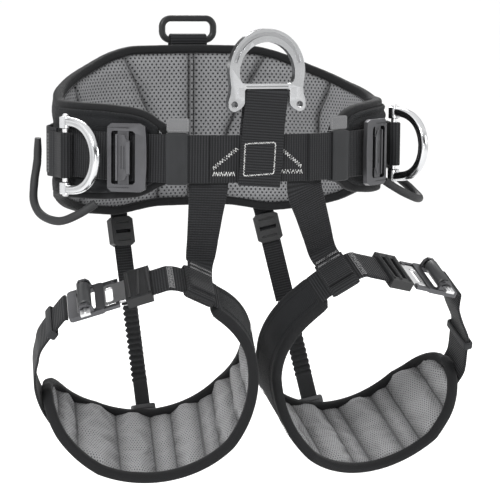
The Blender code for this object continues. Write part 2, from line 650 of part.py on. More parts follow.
def leg_hardware(loop):
    word = loop.word
    wide = LEG_WEBBING_W + 1.4 * MM
    frame = loop.frame(ADJUSTER_AT * MM)
    ladder = sleeve(wide, WEBBING_T + 1.2 * MM, 25 * MM, 3 * MM)
    body = add(f"leg_adjuster_{word}", ladder, "plastic", frame)
    for where in (-5.5 * MM, 4.5 * MM):
        slot = block((where - 2.2 * MM, where + 2.2 * MM), (-17 * MM, 17 * MM), (1 * MM, 12 * MM))
        combine(body, slot, "DIFFERENCE", f"adjuster_slot_{word}_{'a' if where < 0 else 'b'}")

    tongue = plate(rounded(26 * MM, 33 * MM, 3 * MM), 2.4 * MM,
                   [rounded(7 * MM, 22 * MM, 2 * MM, (3 * MM, 0))])
    add(f"leg_tongue_{word}", tongue, "aluminium", loop.frame((ADJUSTER_AT + 26) * MM))

    frame = loop.frame(BUCKLE_AT * MM)
    outline = rounded(36 * MM, 45 * MM, 4 * MM)
    hole = rounded(18 * MM, 34 * MM, 2 * MM)
    body = add(f"leg_buckle_{word}", plate(outline, 5 * MM, [hole]), "anodised", frame)
    mouth = block((-30 * MM, -8 * MM), (-17.2 * MM, 17.2 * MM), (-1.6 * MM, 1.6 * MM))
    combine(body, mouth, "DIFFERENCE", f"buckle_mouth_{word}")
    for where in (-1, 1):
        low, high = sorted((where * 18.2 * MM, where * 21.8 * MM))
        cheek = block((-7 * MM, 7 * MM), (low, high), (0, 12.5 * MM))
        combine(body, cheek, "UNION", f"buckle_cheek_{word}_{'near' if where < 0 else 'far'}")
        arm = block((-32 * MM, -14 * MM), (low, high), (-1.8 * MM, 1.8 * MM))
        combine(body, arm, "UNION", f"buckle_arm_{word}_{'near' if where < 0 else 'far'}")
    pivot = 7.5 * MM
    bore = rod((0, -30 * MM, pivot), (0, 30 * MM, pivot), 2.5 * MM)
    combine(body, bore, "DIFFERENCE", f"buckle_bore_{word}")
    lever_frame = frame @ Matrix.Translation((0, 0, pivot))
    roller = rod((0, -16.5 * MM, 0), (0, 16.5 * MM, 0), 6.6 * MM)
    lever = add(f"leg_buckle_lever_{word}", roller, "plastic", lever_frame)
    front = 1 if (frame.to_3x3() @ Vector((0, 1, 0))).y < 0 else -1
    pin = rod((0, front * 30 * MM, 0), (0, -front * 21 * MM, 0), 2.1 * MM)
    combine(lever, pin, "UNION", f"lever_pin_{word}")
    low, high = sorted((front * 23 * MM, front * 31 * MM))
    tab = block((-5 * MM, 5 * MM), (low, high), (-1.4 * MM, 1.4 * MM))
    combine(lever, tab, "UNION", f"lever_tab_{word}")


def riser(loop):
    word, side = loop.word, loop.side
    top_angle = 270 + side * RISER_ANGLE
    out = SHELL_OUT + 3 * GAP + RISER_T / 2
    clip_angle = loop.size["clip"]
    hook = loop.point(clip_angle, loop.half_width(clip_angle) + 3.4 * MM, -2 * MM)
    upper = [waist(top_angle, out, z * MM) for z in (-27, -50, -70)]
    run = hook - upper[-1]
    down = run.normalized()
    tangent = (waist(top_angle + 1) - waist(top_angle - 1)).normalized()
    across = (tangent - down * tangent.dot(down)).normalized()
    outward = across.cross(down)
    length = run.length
    elastic_from, elastic_to = 0.47, 1 - 10 * MM / length
    lower = [upper[-1] + run * f for f in (0.03, 0.25, elastic_from)]
    add(f"riser_strap_{word}", ribbon(upper + lower, tangent, RISER_W, RISER_T), "webbing")
    axes = Matrix((down, across, down.cross(across))).transposed().to_4x4()
    frame = Matrix.Translation(upper[-1] + run * 0.11) @ axes
    slider = sleeve(RISER_W + 1 * MM, RISER_T + 1.4 * MM, 30 * MM, 2.6 * MM)
    body = add(f"riser_adjuster_{word}", slider, "plastic", frame)
    for where in (-1, 1):
        depth = sorted((where * 1.4 * MM, where * 10.6 * MM))
        slit = block((-1.6 * MM, 1.6 * MM), (-8.6 * MM, 8.6 * MM), depth)
        combine(body, slit, "DIFFERENCE", f"riser_slit_{word}_{'in' if where < 0 else 'out'}")
    elastic = [upper[-1] + run * f for f in (elastic_from + 0.3 * MM / length, elastic_to)]
    add(f"elastic_riser_{word}", ribbon(elastic, tangent, 17 * MM, 2.6 * MM), "webbing")
    clip = Matrix.Translation(hook - down * 4.4 * MM) @ axes
    add(f"riser_clip_{word}", plate(rounded(9 * MM, 27 * MM, 2.5 * MM), 5 * MM), "grey_plastic", clip)


def build():
    clear_scene()
    belt_pads()
    belt_webbing()
    belt_keepers()
    waist_buckles()
    side_rings()
    gear_loops()
    front_attachment()
    rear_attachment()
    for word in SIDES:
        loop = Loop(word)
        leg_soft(loop)
        leg_junction(loop)
        leg_hardware(loop)
        riser(loop)


build()
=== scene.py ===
"""The looks of the tree climbing saddle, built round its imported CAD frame.

The wearer faces -Y, +Z is up and the origin is the middle of the waist. The formulas for the belt and the
leg loops are the ones that the CAD solids follow, so every piece here lies on the solid that it stands for.
Straps carry an attribute named "strap": metres along, across and through them, which their weaves follow.
"""

import json
from math import cos, exp, pi, radians, sin

import bmesh
import bpy
import numpy as np
from mathutils import Matrix, Vector
from mathutils.noise import noise


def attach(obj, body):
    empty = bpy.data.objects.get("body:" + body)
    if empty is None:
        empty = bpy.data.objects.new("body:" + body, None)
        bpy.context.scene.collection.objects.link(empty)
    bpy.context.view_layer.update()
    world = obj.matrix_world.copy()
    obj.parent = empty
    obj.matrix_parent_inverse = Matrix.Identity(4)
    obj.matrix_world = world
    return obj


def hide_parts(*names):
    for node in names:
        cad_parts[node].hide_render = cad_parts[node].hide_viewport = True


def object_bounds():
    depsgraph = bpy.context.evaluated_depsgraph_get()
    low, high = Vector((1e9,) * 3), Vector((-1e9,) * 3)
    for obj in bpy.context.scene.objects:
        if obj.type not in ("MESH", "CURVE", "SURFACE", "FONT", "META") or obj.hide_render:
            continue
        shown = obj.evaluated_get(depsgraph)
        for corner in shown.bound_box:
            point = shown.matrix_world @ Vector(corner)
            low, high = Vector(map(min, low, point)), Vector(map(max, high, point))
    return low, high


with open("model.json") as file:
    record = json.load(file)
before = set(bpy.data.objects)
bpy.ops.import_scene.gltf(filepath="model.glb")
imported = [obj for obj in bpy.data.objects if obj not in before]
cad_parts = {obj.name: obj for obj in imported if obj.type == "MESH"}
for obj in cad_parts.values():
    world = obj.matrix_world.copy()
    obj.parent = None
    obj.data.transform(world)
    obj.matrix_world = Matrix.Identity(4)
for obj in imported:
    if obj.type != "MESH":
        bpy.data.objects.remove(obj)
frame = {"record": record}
CAD_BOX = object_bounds()

MM = 0.001
GAP = 0.3 * MM
SIDES = {"left": 1, "right": -1}
UP = Vector((0, 0, 1))

# Waist belt, as in the CAD
WAIST_X, WAIST_FRONT, WAIST_REAR = 172 * MM, 118 * MM, 100 * MM
FRONT_DIP = 4 * MM
WEBBING_W, WEBBING_T = 45 * MM, 2.4 * MM
LAYER = WEBBING_T + GAP
LINER_IN, LINER_OUT = -15 * MM, -8 * MM
SHELL_IN, SHELL_OUT = LINER_OUT + GAP, -5 * MM
WING_IN, WING_OUT = SHELL_OUT + GAP, -1.6 * MM
BELT_END = 148
BELT_TOP = ((0, 96), (24, 95), (33, 89), (45, 77), (66, 60), (90, 47),
            (125, 48), (138, 46), (144, 41), (148, 30))
BELT_BOTTOM = ((0, -68), (14, -68), (30, -75), (48, -70), (62, -62), (74, -52),
               (90, -46), (125, -42), (140, -38), (148, -25))
BINDING_R = 4.2 * MM
WING_START = 96
RING_BAR_ANGLE, RING_BAR_OUT, RING_BAR_R = 70, 7.9 * MM, 3 * MM
RING_BOSS_R, RING_BOSS_Z = 5.8 * MM, 31 * MM
RING_DEPTH, RING_HALF_H = 45 * MM, 32 * MM
RING_LIFT = {"left": 3 * MM, "right": -2 * MM}
RING_SWING = {"left": 44, "right": 6}
BUCKLE_ANGLE = {"left": 47.5, "right": 43.5}
BUCKLE_H, BUCKLE_T, BUCKLE_OUT = 64 * MM, 4.4 * MM, 6.6 * MM
KEEPERS = {"left": 29, "right": 27}
FRONT_LEAN, FRONT_STRAP_W = 0.075, 42 * MM
FRONT_BAR_UP, FRONT_BAR_FORWARD, FRONT_BAR_R, FRONT_RING_T = 60.5 * MM, 1.5 * MM, 1.9 * MM, 10 * MM
REAR_RING_Z, REAR_RING_HALF_W, REAR_RING_H, REAR_RING_R = 100.5 * MM, 27.5 * MM, 22 * MM, 3.3 * MM
GEAR_LOOPS = {
    "right": ((91, 11.4, 10), (92, 11.6, -12), (91, 15, -32), (86, 19, -50),
              (79, 19, -61), (70, 16, -64), (62, 12, -56), (56, 5.5, -45)),
    "left": ((91, 11.4, 4), (92, 11.6, -14), (90, 17, -32), (85, 29, -45),
             (78, 35, -53), (70, 29, -50), (63, 17, -41), (58, 5.5, -31)),
}

# Leg loops, as in the CAD
LEG_WEBBING_W, LEG_SHELL_T = 40 * MM, 2.6 * MM
ADJUSTER_AT, BUCKLE_AT = -9.5, 42
LEGS = {
    "right": dict(centre=(-90, -50, -204), splay=12.6, tilt=26.2, roll=12.9, half_w=105.4, up=88.7,
                  down=107.8, pad=(46, 68, 108), flat=0, line=(14, -30), shift=-14, junction=37.5, clip=-170,
                  pad_to=263, keeper=3,
                  strap=((-58, 3), (-66, 3), (-74, 3), (-83, 3), (-92, 3), (-101, 3), (-110, 3))),
    "left": dict(centre=(140, -50, -196), splay=-4.1, tilt=28.2, roll=5.6, half_w=109.7, up=92.8,
                 down=127.2, pad=(45, 48, 106), flat=0.13, line=(8, -38), shift=-2, junction=26, clip=169,
                 pad_to=248, keeper=9,
                 strap=((-62, -2), (-75, -5), (-88, -5), (-98, -3), (-108, 3), (-114, 3.2), (-120, 3.2))),
}
STRAIGHT, EASE = 30, 64
PAD_START, PAD_ROUND = 13, 17
RISER_ANGLE, RISER_W, RISER_T = 27.3, 20 * MM, 2 * MM


# ---------------------------------------------------------------- shapes that the CAD shares

def ease(a, b, x):
    t = min(max((x - a) / (b - a), 0), 1)
    return t * t * (3 - 2 * t)


def along(table, x):
    """The value of a table of (place, value) pairs at x, in straight runs."""
    for (x0, y0), (x1, y1) in zip(table, table[1:]):
        if x <= x1:
            return y0 + (y1 - y0) * (x - x0) / (x1 - x0)
    return table[-1][1]


def waist(angle, out=0.0, z=0.0):
    a = radians(angle)
    depth = WAIST_FRONT if sin(a) > 0 else WAIST_REAR
    normal = Vector((cos(a) / WAIST_X, -sin(a) / depth, 0)).normalized()
    level = Vector((0, 0, z - FRONT_DIP * max(0, sin(a))))
    return Vector((WAIST_X * cos(a), -depth * sin(a), 0)) + normal * out + level


def waist_frame(side, from_front, out=0.0, z=0.0):
    """Axes on the belt's outer face: x towards the front centre, y up, z outwards."""
    angle = 90 - side * from_front
    point = waist(angle, out, z)
    forward = waist(angle + side, out) - waist(angle - side, out)
    forward.z = 0
    forward.normalize()
    outward = forward.cross(UP)
    flip = 1 if outward.dot(point) > 0 else -1
    return Matrix.Translation(point) @ Matrix((forward, UP, outward * flip)).transposed().to_4x4()


def axes_of(forward, outward):
    """Axes with x forward and z outward."""
    return Matrix((forward, outward.cross(forward), outward)).transposed().to_4x4()


def span(start, end, step):
    count = max(1, round(abs(end - start) / step))
    return [start + (end - start) * k / count for k in range(count + 1)]


def smooth(points, steps):
    """Points on a smooth curve through the given ones."""
    found = []
    for i in range(len(points) - 1):
        p0, p1, p2, p3 = (points[min(max(i + k, 0), len(points) - 1)] for k in (-1, 0, 1, 2))
        for k in range(steps):
            t = k / steps
            found.append(0.5 * (2 * p1 + (p2 - p0) * t + (2 * p0 - 5 * p1 + 4 * p2 - p3) * t * t
                                + (3 * p1 - p0 - 3 * p2 + p3) * t ** 3))
    return found + [points[-1]]


class Loop:
    """One leg loop: an oval band around an axis that points up and back."""

    def __init__(self, word):
        self.word, self.side = word, SIDES[word]
        self.size = LEGS[word]
        splay, tilt, roll = (radians(self.size[k]) for k in ("splay", "tilt", "roll"))
        self.axis = Vector((sin(splay) * cos(tilt), cos(splay) * cos(tilt), sin(tilt)))
        level = Vector((cos(splay), -sin(splay), 0))
        rise = level.cross(self.axis)
        self.wide = level * cos(roll) + rise * sin(roll)
        self.tall = rise * cos(roll) - level * sin(roll)
        self.centre = Vector(self.size["centre"]) * MM
        inner, outer = self.size["line"]
        self.top = (inner + outer) / 2
        self.line_at = self.oval(self.top) - self.normal(self.top) * 3 * MM
        self.line = (self.oval(outer) - self.oval(inner)).normalized()
        self.pad_from = self.size["junction"] + PAD_START
        self.pad_to = self.size["pad_to"]

    def oval(self, angle):
        a = radians(angle)
        rise = self.size["up"] if cos(a) > 0 else self.size["down"]
        pull = 1 + self.size["flat"] * sin(2 * a) if sin(a) < 0 < cos(a) else 1
        across = self.wide * (-self.side * self.size["half_w"] * MM * sin(a))
        return self.centre + (across + self.tall * (rise * MM * cos(a))) * pull

    def normal(self, angle):
        tangent = (self.oval(angle + 1) - self.oval(angle - 1)).normalized()
        normal = tangent.cross(self.axis)
        return normal if normal.dot(self.oval(angle) - self.centre) > 0 else -normal

    def straightened(self, angle):
        from_top = angle - self.top
        point = self.oval(self.top + min(max(from_top, -STRAIGHT), STRAIGHT))
        on_line = self.line_at + self.line * (point - self.line_at).dot(self.line)
        return (on_line - point) * (1 - ease(STRAIGHT, EASE, abs(from_top)))

    def angle_at(self, along_line):
        low, high = self.top - STRAIGHT, self.top + STRAIGHT
        for _ in range(30):
            middle = (low + high) / 2
            if (self.point(middle) - self.line_at).dot(self.line) < along_line:
                high = middle
            else:
                low = middle
        return low

    def point(self, angle, across=0.0, out=0.0):
        turned = (angle + 180) % 360 - 180
        return self.oval(turned) + self.straightened(turned) + self.axis * across + self.normal(turned) * out

    def half_width(self, angle):
        near_top, at_side, below = self.size["pad"]
        turned = abs((angle + 180) % 360 - 180)
        table = ((0, near_top), (self.pad_from, near_top), (95, at_side), (140, below), (180, below))
        left = (self.pad_to - angle % 360) / PAD_ROUND
        rounding = 0.3 + 0.7 * (1 - (1 - left) ** 2) ** 0.5 if 0 <= left < 1 else 1
        return along(table, turned) * MM / 2 * rounding

    def frame(self, along_line):
        """Axes on the straight run: x away from the other leg, y along the loop's axis, z outwards."""
        shift = self.size["shift"] * MM
        outward = self.normal(self.top)
        outward = (outward - self.line * outward.dot(self.line)).normalized()
        place = self.line_at + self.line * (along_line + shift)
        return Matrix.Translation(place) @ axes_of(self.line, outward)

    def tangent_frame(self, angle):
        forward = (self.point(angle - 1) - self.point(angle + 1)).normalized()
        outward = self.normal(angle)
        outward = (outward - forward * outward.dot(forward)).normalized()
        return Matrix.Translation(self.point(angle)) @ axes_of(forward, outward)


# ---------------------------------------------------------------- materials

class Look:
    """A node material: short helpers that add a node and link it."""

    def __init__(self, name, colour, roughness, metallic=0.0):
        self.mat = bpy.data.materials.new(name)
        self.mat.use_nodes = True
        self.tree = self.mat.node_tree
        self.shader = self.tree.nodes["Principled BSDF"]
        self.set("Base Color", (*colour, 1))
        self.set("Roughness", roughness)
        self.set("Metallic", metallic)
        self.height = None

    def set(self, socket, value):
        self.shader.inputs[socket].default_value = value

    def node(self, kind, **values):
        made = self.tree.nodes.new(kind)
        for key, value in values.items():
            setattr(made, key, value)
        return made

    def link(self, source, target):
        self.tree.links.new(source, target)

    def fill(self, socket, value):
        if isinstance(value, (int, float)):
            socket.default_value = value
        else:
            self.link(value, socket)

    def math(self, operation, a, b=0.0):
        made = self.node("ShaderNodeMath", operation=operation)
        self.fill(made.inputs[0], a)
        self.fill(made.inputs[1], b)
        return made.outputs[0]

    def add(self, a, b):
        return self.math("ADD", a, b)

    def minus(self, a, b):
        return self.math("SUBTRACT", a, b)

    def times(self, a, b):
        return self.math("MULTIPLY", a, b)

    def weigh(self, a, share_a, b, share_b):
        return self.add(self.times(a, share_a), self.times(b, share_b))

    def sine(self, value, pitch):
        """A sine of the value with the given pitch, from 0 to 1."""
        return self.add(self.times(self.math("SINE", self.times(value, 2 * pi / pitch)), 0.5), 0.5)

    def split(self, vector):
        made = self.node("ShaderNodeSeparateXYZ")
        self.link(vector, made.inputs[0])
        return made.outputs

    def place(self):
        """Metres in the object's own axes."""
        return self.node("ShaderNodeTexCoord").outputs["Object"]

    def strap(self):
        """Metres along and across a strap and through it, as three outputs; on padding the third is the
        amount of painted crease shade.
        """
        return self.split(self.node("ShaderNodeAttribute", attribute_name="strap").outputs["Vector"])

    def edge(self):
        """Below 0.5 in hollows and above it on edges."""
        return self.node("ShaderNodeNewGeometry").outputs["Pointiness"]

    def noise(self, scale, detail=3.0, rough=0.5, at=None):
        made = self.node("ShaderNodeTexNoise")
        self.link(at or self.place(), made.inputs["Vector"])
        made.inputs["Scale"].default_value = scale
        made.inputs["Detail"].default_value = detail
        made.inputs["Roughness"].default_value = rough
        return made.outputs["Fac"]

    def ramp(self, value, low, high, start=0.0, end=1.0):
        made = self.node("ShaderNodeMapRange", clamp=True)
        self.fill(made.inputs["Value"], value)
        for key, number in (("From Min", low), ("From Max", high), ("To Min", start), ("To Max", end)):
            made.inputs[key].default_value = number
        return made.outputs["Result"]

    def mix(self, factor, first, second):
        """Goes from the first colour, or another node's output, to the second colour."""
        made = self.node("ShaderNodeMix", data_type="RGBA")
        self.fill(made.inputs["Factor"], factor)
        if isinstance(first, tuple):
            made.inputs["A"].default_value = (*first, 1)
        else:
            self.link(first, made.inputs["A"])
        made.inputs["B"].default_value = (*second, 1)
        return made.outputs["Result"]

    def tint(self, factor, colour, dark, light):
        """The base colour goes from dark times to light times the colour."""
        mixed = self.mix(factor, shade(colour, dark), shade(colour, light))
        self.link(mixed, self.shader.inputs["Base Color"])

    def rough(self, factor, low, high):
        self.link(self.ramp(factor, 0, 1, low, high), self.shader.inputs["Roughness"])

    def bump(self, height, distance, strength=1.0):
        """Adds a bump in metres on top of any earlier one."""
        made = self.node("ShaderNodeBump")
        made.inputs["Distance"].default_value = distance
        made.inputs["Strength"].default_value = strength
        self.link(height, made.inputs["Height"])
        if self.height:
            self.link(self.height, made.inputs["Normal"])
        self.height = made.outputs["Normal"]
        self.link(self.height, self.shader.inputs["Normal"])

    def gloss(self, specular, sheen=0.0, spread=0.5):
        self.set("Specular IOR Level", specular)
        self.set("Sheen Weight", sheen)
        self.set("Sheen Roughness", spread)


def shade(colour, factor):
    return tuple(min(1.0, c * factor) for c in colour)


def webbing_look(name, colour, pitch, warp, rib, rough=(0.62, 0.85)):
    """Close-woven tape: warp lines along it, ribs across it, both broken by the weave."""
    look = Look(name, colour, 0.75)
    u, v, _ = look.strap()
    ribs = look.sine(u, pitch)
    weave = look.weigh(look.times(ribs, look.sine(v, warp)), 0.3, ribs, 0.7)
    worn = look.noise(38, 4, 0.6)
    fuzz = look.noise(1900, 2, 0.6)
    look.tint(look.weigh(weave, 0.7, look.add(worn, fuzz), 0.18), colour, 0.25, 2.1)
    look.rough(worn, *rough)
    look.bump(weave, rib)
    look.bump(fuzz, 0.12 * MM, 0.6)
    look.gloss(0.13, 0.08, 0.4)
    return look.mat


def elastic_look(name, colour):
    """Smooth elastic: fine lines along it and small cross cords, with painted shade between its gathers and
    painted highlights on their ridges.
    """
    look = Look(name, colour, 0.6)
    u, v, _ = look.strap()
    weave = look.weigh(look.sine(v, 1.05 * MM), 0.7, look.sine(u, 0.9 * MM), 0.3)
    worn = look.noise(60, 3, 0.5)
    # Painted shade in the hollows between the gathers and painted highlight on their ridges, from pointiness.
    painted_relief_shading = look.ramp(look.edge(), 0.44, 0.53, 0.12, 1.25)
    look.tint(look.times(look.weigh(weave, 0.6, worn, 0.4), painted_relief_shading), colour, 0.3, 2.0)
    look.rough(worn, 0.5, 0.72)
    look.bump(weave, 0.12 * MM)
    look.gloss(0.16, 0.06)
    return look.mat


def mesh_look(name, colour, pitch, hole, dark):
    """Spacer mesh: offset rows of small dark holes in a knitted face, with painted shade in its sewn creases.
    """
    look = Look(name, colour, 0.9)
    u, v, sewn = look.strap()
    row = look.math("DIVIDE", v, pitch * 0.8)
    odd = look.times(look.math("MODULO", look.math("FLOOR", row), 2.0), 0.5)
    across = look.add(look.math("DIVIDE", u, pitch), odd)
    dx = look.minus(look.math("FRACT", across), 0.5)
    dy = look.times(look.minus(look.math("FRACT", row), 0.5), 0.8)
    far = look.math("SQRT", look.add(look.times(look.times(dx, dx), 1.5), look.times(dy, dy)))
    holes = look.ramp(far, hole * 0.55, hole, 1.0, 0.0)
    knit = look.times(look.sine(u, 0.75 * MM), look.sine(v, 0.9 * MM))
    fuzz = look.noise(1500, 3, 0.6)
    streaks = look.weigh(knit, 0.35, look.add(fuzz, look.noise(26, 4, 0.6)), 0.35)
    face = look.mix(streaks, shade(colour, 0.62), shade(colour, 1.45))
    face = look.mix(holes, face, dark)
    # Painted shade: the face goes towards the crease colour near the sewn lines.
    face = look.mix(look.times(sewn, 0.82), face, PAINTED_CREASE_SHADE)
    look.link(face, look.shader.inputs["Base Color"])
    look.rough(fuzz, 0.78, 1.0)
    look.bump(look.minus(1.0, holes), 0.7 * MM)
    look.bump(look.add(knit, fuzz), 0.14 * MM, 0.7)
    look.gloss(0.12, 0.12)
    return look.mat


def cloth_look(name, colour, pitch=0.9 * MM, sheen=0.08):
    """Plain woven cover in the object's own axes, with soft wear."""
    look = Look(name, colour, 0.85)
    x, y, z = look.split(look.place())
    slant = look.add(x, y)
    weave = look.times(look.sine(look.add(slant, z), pitch), look.sine(look.minus(slant, z), pitch))
    worn = look.noise(30, 4, 0.6)
    fuzz = look.noise(1400, 3, 0.6)
    look.tint(look.weigh(weave, 0.3, look.add(worn, fuzz), 0.35), colour, 0.5, 1.7)
    look.rough(worn, 0.75, 0.95)
    look.bump(weave, 0.15 * MM)
    look.bump(fuzz, 0.16 * MM, 0.7)
    look.gloss(0.1, sheen, 0.45)
    return look.mat


def metal_look(name, colour, rough, wear):
    """Metal with fine scratches along one axis, faint smears, painted shade in its corners and hollows, and
    brighter worn edges.
    """
    look = Look(name, colour, sum(rough) / 2, 1.0)
    mapping = look.node("ShaderNodeMapping")
    look.link(look.place(), mapping.inputs["Vector"])
    mapping.inputs["Scale"].default_value = (1, 1, 9)
    lines = look.noise(900, 5, 0.65, mapping.outputs["Vector"])
    smear = look.noise(45, 4, 0.6)
    edge = look.edge()
    worn = look.ramp(edge, 0.5, 0.58)
    # Painted shade in corners and hollows, from pointiness.
    painted_relief_shading = look.ramp(edge, 0.42, 0.5, 0.1, 1.0)
    mixed = look.weigh(lines, 0.35, look.add(smear, worn), 0.35)
    look.tint(look.times(mixed, painted_relief_shading), colour, 0.55, wear)
    look.rough(look.weigh(lines, 0.6, smear, 0.4), *rough)
    look.bump(lines, 0.15 * MM, 0.12)
    return look.mat


def plastic_look(name, colour, rough=(0.35, 0.6), grain=0.12 * MM):
    """Moulded plastic: a fine eroded grain and faint rubbed patches."""
    look = Look(name, colour, 0.45)
    fine = look.noise(1700, 4, 0.7)
    worn = look.noise(55, 4, 0.6)
    edge = look.ramp(look.edge(), 0.5, 0.6)
    look.tint(look.weigh(worn, 0.6, edge, 0.6), colour, 0.7, 1.9)
    look.rough(look.weigh(worn, 0.5, fine, 0.5), *rough)
    look.bump(fine, grain, 0.5)
    look.gloss(0.32)
    return look.mat


def thread_look(name, colour):
    look = Look(name, colour, 0.7)
    twist = look.noise(2400, 3, 0.6)
    look.tint(twist, colour, 0.65, 1.35)
    look.rough(twist, 0.55, 0.85)
    look.bump(twist, 0.1 * MM)
    look.gloss(0.2)
    return look.mat


def floor_look():
    look = Look("pale_floor", (0.95, 0.95, 0.95), 0.75)
    look.tint(look.noise(6, 3, 0.5), (1, 1, 1), 0.93, 0.97)
    look.rough(look.noise(40, 3, 0.5), 0.7, 0.85)
    return look.mat


# ---------------------------------------------------------------- mesh helpers

RIDES = {}  # node to body
for body_name, node_names in frame["record"]["behaviour"]["bodies"].items():
    for node_name in node_names:
        RIDES[node_name] = body_name


def settle(obj, look, node, replaces=True):
    """Gives a piece its material and the body of the CAD node that it stands for, and hides that node if the
    piece replaces it.
    """
    obj.data.materials.clear()
    obj.data.materials.append(look)
    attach(obj, RIDES[node])
    if replaces:
        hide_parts(node)
    return obj


def make(name, verts, faces, strap=None, sharp=38):
    """A mesh object from points and faces; a strap has its own measures on every vertex."""
    mesh = bpy.data.meshes.new("raw")
    mesh.from_pydata([tuple(v) for v in verts], [], faces)
    if strap is not None:
        layer = mesh.attributes.new("strap", "FLOAT_VECTOR", "POINT")
        layer.data.foreach_set("vector", np.array(strap, dtype=np.float32).ravel())
    bm = bmesh.new()
    bm.from_mesh(mesh)
    bpy.data.meshes.remove(mesh)
    return from_bmesh(name, bm, sharp=sharp)


def from_bmesh(name, bm, place=None, sharp=38):
    """A smooth-shaded object with its normals out and its corners sharp."""
    if place:
        bm.transform(place)
    bmesh.ops.recalc_face_normals(bm, faces=bm.faces)
    mesh = bpy.data.meshes.new(name)
    bm.to_mesh(mesh)
    bm.free()
    mesh.shade_smooth()
    mesh.set_sharp_from_angle(angle=radians(sharp))
    obj = bpy.data.objects.new(name, mesh)
    bpy.context.collection.objects.link(obj)
    return obj


def cut(obj, tools, operation="DIFFERENCE"):
    """Cuts the tools from obj or joins them on, and leaves a plain mesh."""
    for tool in tools:
        step = obj.modifiers.new("cut", "BOOLEAN")
        step.operation = operation
        step.object = tool
        step.solver = "EXACT"
    graph = bpy.context.evaluated_depsgraph_get()
    mesh = bpy.data.meshes.new_from_object(obj.evaluated_get(graph))
    obj.modifiers.clear()
    obj.data = mesh
    for tool in tools:
        bpy.data.objects.remove(tool, do_unlink=True)
    return obj


def soften(obj, width, segments=3, angle=38):
    """Round edges with flat faces kept flat."""
    bm = bmesh.new()
    bm.from_mesh(obj.data)
    bmesh.ops.remove_doubles(bm, verts=bm.verts, dist=0.00002)
    bmesh.ops.dissolve_limit(bm, angle_limit=radians(3), verts=bm.verts, edges=bm.edges)
    bm.to_mesh(obj.data)
    bm.free()
    obj.data.shade_smooth()
    bevel = obj.modifiers.new("edges", "BEVEL")
    bevel.width = width
    bevel.segments = segments
    bevel.limit_method = "ANGLE"
    bevel.angle_limit = radians(angle)
    bevel.use_clamp_overlap = True
    weighted = obj.modifiers.new("faces", "WEIGHTED_NORMAL")
    weighted.keep_sharp = False
    return obj


def tangents(points, closed=False):
    last = len(points) - 1
    found = []
    for i in range(len(points)):
        before = points[i - 1] if closed or i > 0 else points[i]
        after = points[(i + 1) % len(points)] if closed or i < last else points[i]
        found.append((after - before).normalized())
    return found


def between(values, k):
    """The value at k, where k may lie between two of a list of numbers or vectors."""
    if not isinstance(values, (list, tuple)):
        return values
    i = min(int(k), len(values) - 2)
    return values[i] + (values[i + 1] - values[i]) * (k - i)


def tape_section(width, thickness, flats=8):
    """Round-edged section of a tape: (across, through) points around it."""
    r = thickness / 2
    half = width / 2 - r
    points = [(-half + 2 * half * k / flats, -r) for k in range(flats + 1)]
    points += [(half + r * sin(a), -r * cos(a)) for a in (pi * k / 4 for k in (1, 2, 3))]
    points += [(half - 2 * half * k / flats, r) for k in range(flats + 1)]
    points += [(-half - r * sin(a), r * cos(a)) for a in (pi * k / 4 for k in (1, 2, 3))]
    return points


def rings_to_faces(rings, count, closed):
    faces = []
    for i in range(rings if closed else rings - 1):
        a, b = i * count, (i + 1) % rings * count
        faces += [(a + k, a + (k + 1) % count, b + (k + 1) % count, b + k) for k in range(count)]
    if not closed:
        faces.append(tuple(range(count))[::-1])
        faces.append(tuple(range((rings - 1) * count, rings * count)))
    return faces


def strap(name, points, across, width, thickness, fine=4, out=0.0, ripple=None, flats=8):
    """A tape along points. ripple(u, v) lifts both faces, in metres."""
    path = smooth(points, fine)
    turns = tangents(path)
    verts, marks, u = [], [], 0.0
    for i, (p, t) in enumerate(zip(path, turns)):
        if i:
            u += (p - path[i - 1]).length
        k = i / fine
        side = between(across, k)
        side = (side - t * side.dot(t)).normalized()
        normal = side.cross(t)
        section = tape_section(between(width, k), thickness, flats)
        for v, w in section:
            lift = out + w + (ripple(u, v) if ripple else 0.0)
            verts.append(p + side * v + normal * lift)
            marks.append((u, v, w))
    return make(name, verts, rings_to_faces(len(path), len(section), False), marks, 60)


def hose(name, points, radius, sides=20, fine=4, closed=False, flat=1.0, up=UP, shape=None):
    """A bar or tube along points. shape(k, a) scales its radius at place k and angle a."""
    path = points if closed or fine == 1 else smooth(points, fine)
    verts, marks, u = [], [], 0.0
    for i, (p, t) in enumerate(zip(path, tangents(path, closed))):
        if i:
            u += (p - path[i - 1]).length
        steady = between(up, i / fine) if isinstance(up, list) else up
        normal = (steady - t * steady.dot(t)).normalized()
        side = t.cross(normal)
        for k in range(sides):
            a = 2 * pi * k / sides
            r = radius * (shape(i / (len(path) - 1), a) if shape else 1.0)
            verts.append(p + side * (r * cos(a)) + normal * (r * flat * sin(a)))
            marks.append((u, a * radius, 0.0))
    return make(name, verts, rings_to_faces(len(path), sides, closed), marks, 50)


def slab(name, us, vs, low, high, mark):
    """A closed padded sheet between two surfaces low(u, v) and high(u, v)."""
    rows, cols = len(us), len(vs)
    verts = [low(u, v) for u in us for v in vs] + [high(u, v) for u in us for v in vs]
    marks = [mark(u, v) for u in us for v in vs] * 2
    top = rows * cols
    faces = []
    for i in range(rows - 1):
        for j in range(cols - 1):
            a, b = i * cols + j, (i + 1) * cols + j
            faces.append((a, a + 1, b + 1, b))
            faces.append((top + a, top + b, top + b + 1, top + a + 1))
    rim = list(range(cols)) + [i * cols + cols - 1 for i in range(1, rows)]
    rim += [(rows - 1) * cols + j for j in range(cols - 2, -1, -1)]
    rim += [i * cols for i in range(rows - 2, 0, -1)]
    for a, b in zip(rim, rim[1:] + rim[:1]):
        faces.append((a, b, top + b, top + a))
    return make(name, verts, faces, marks, 60)


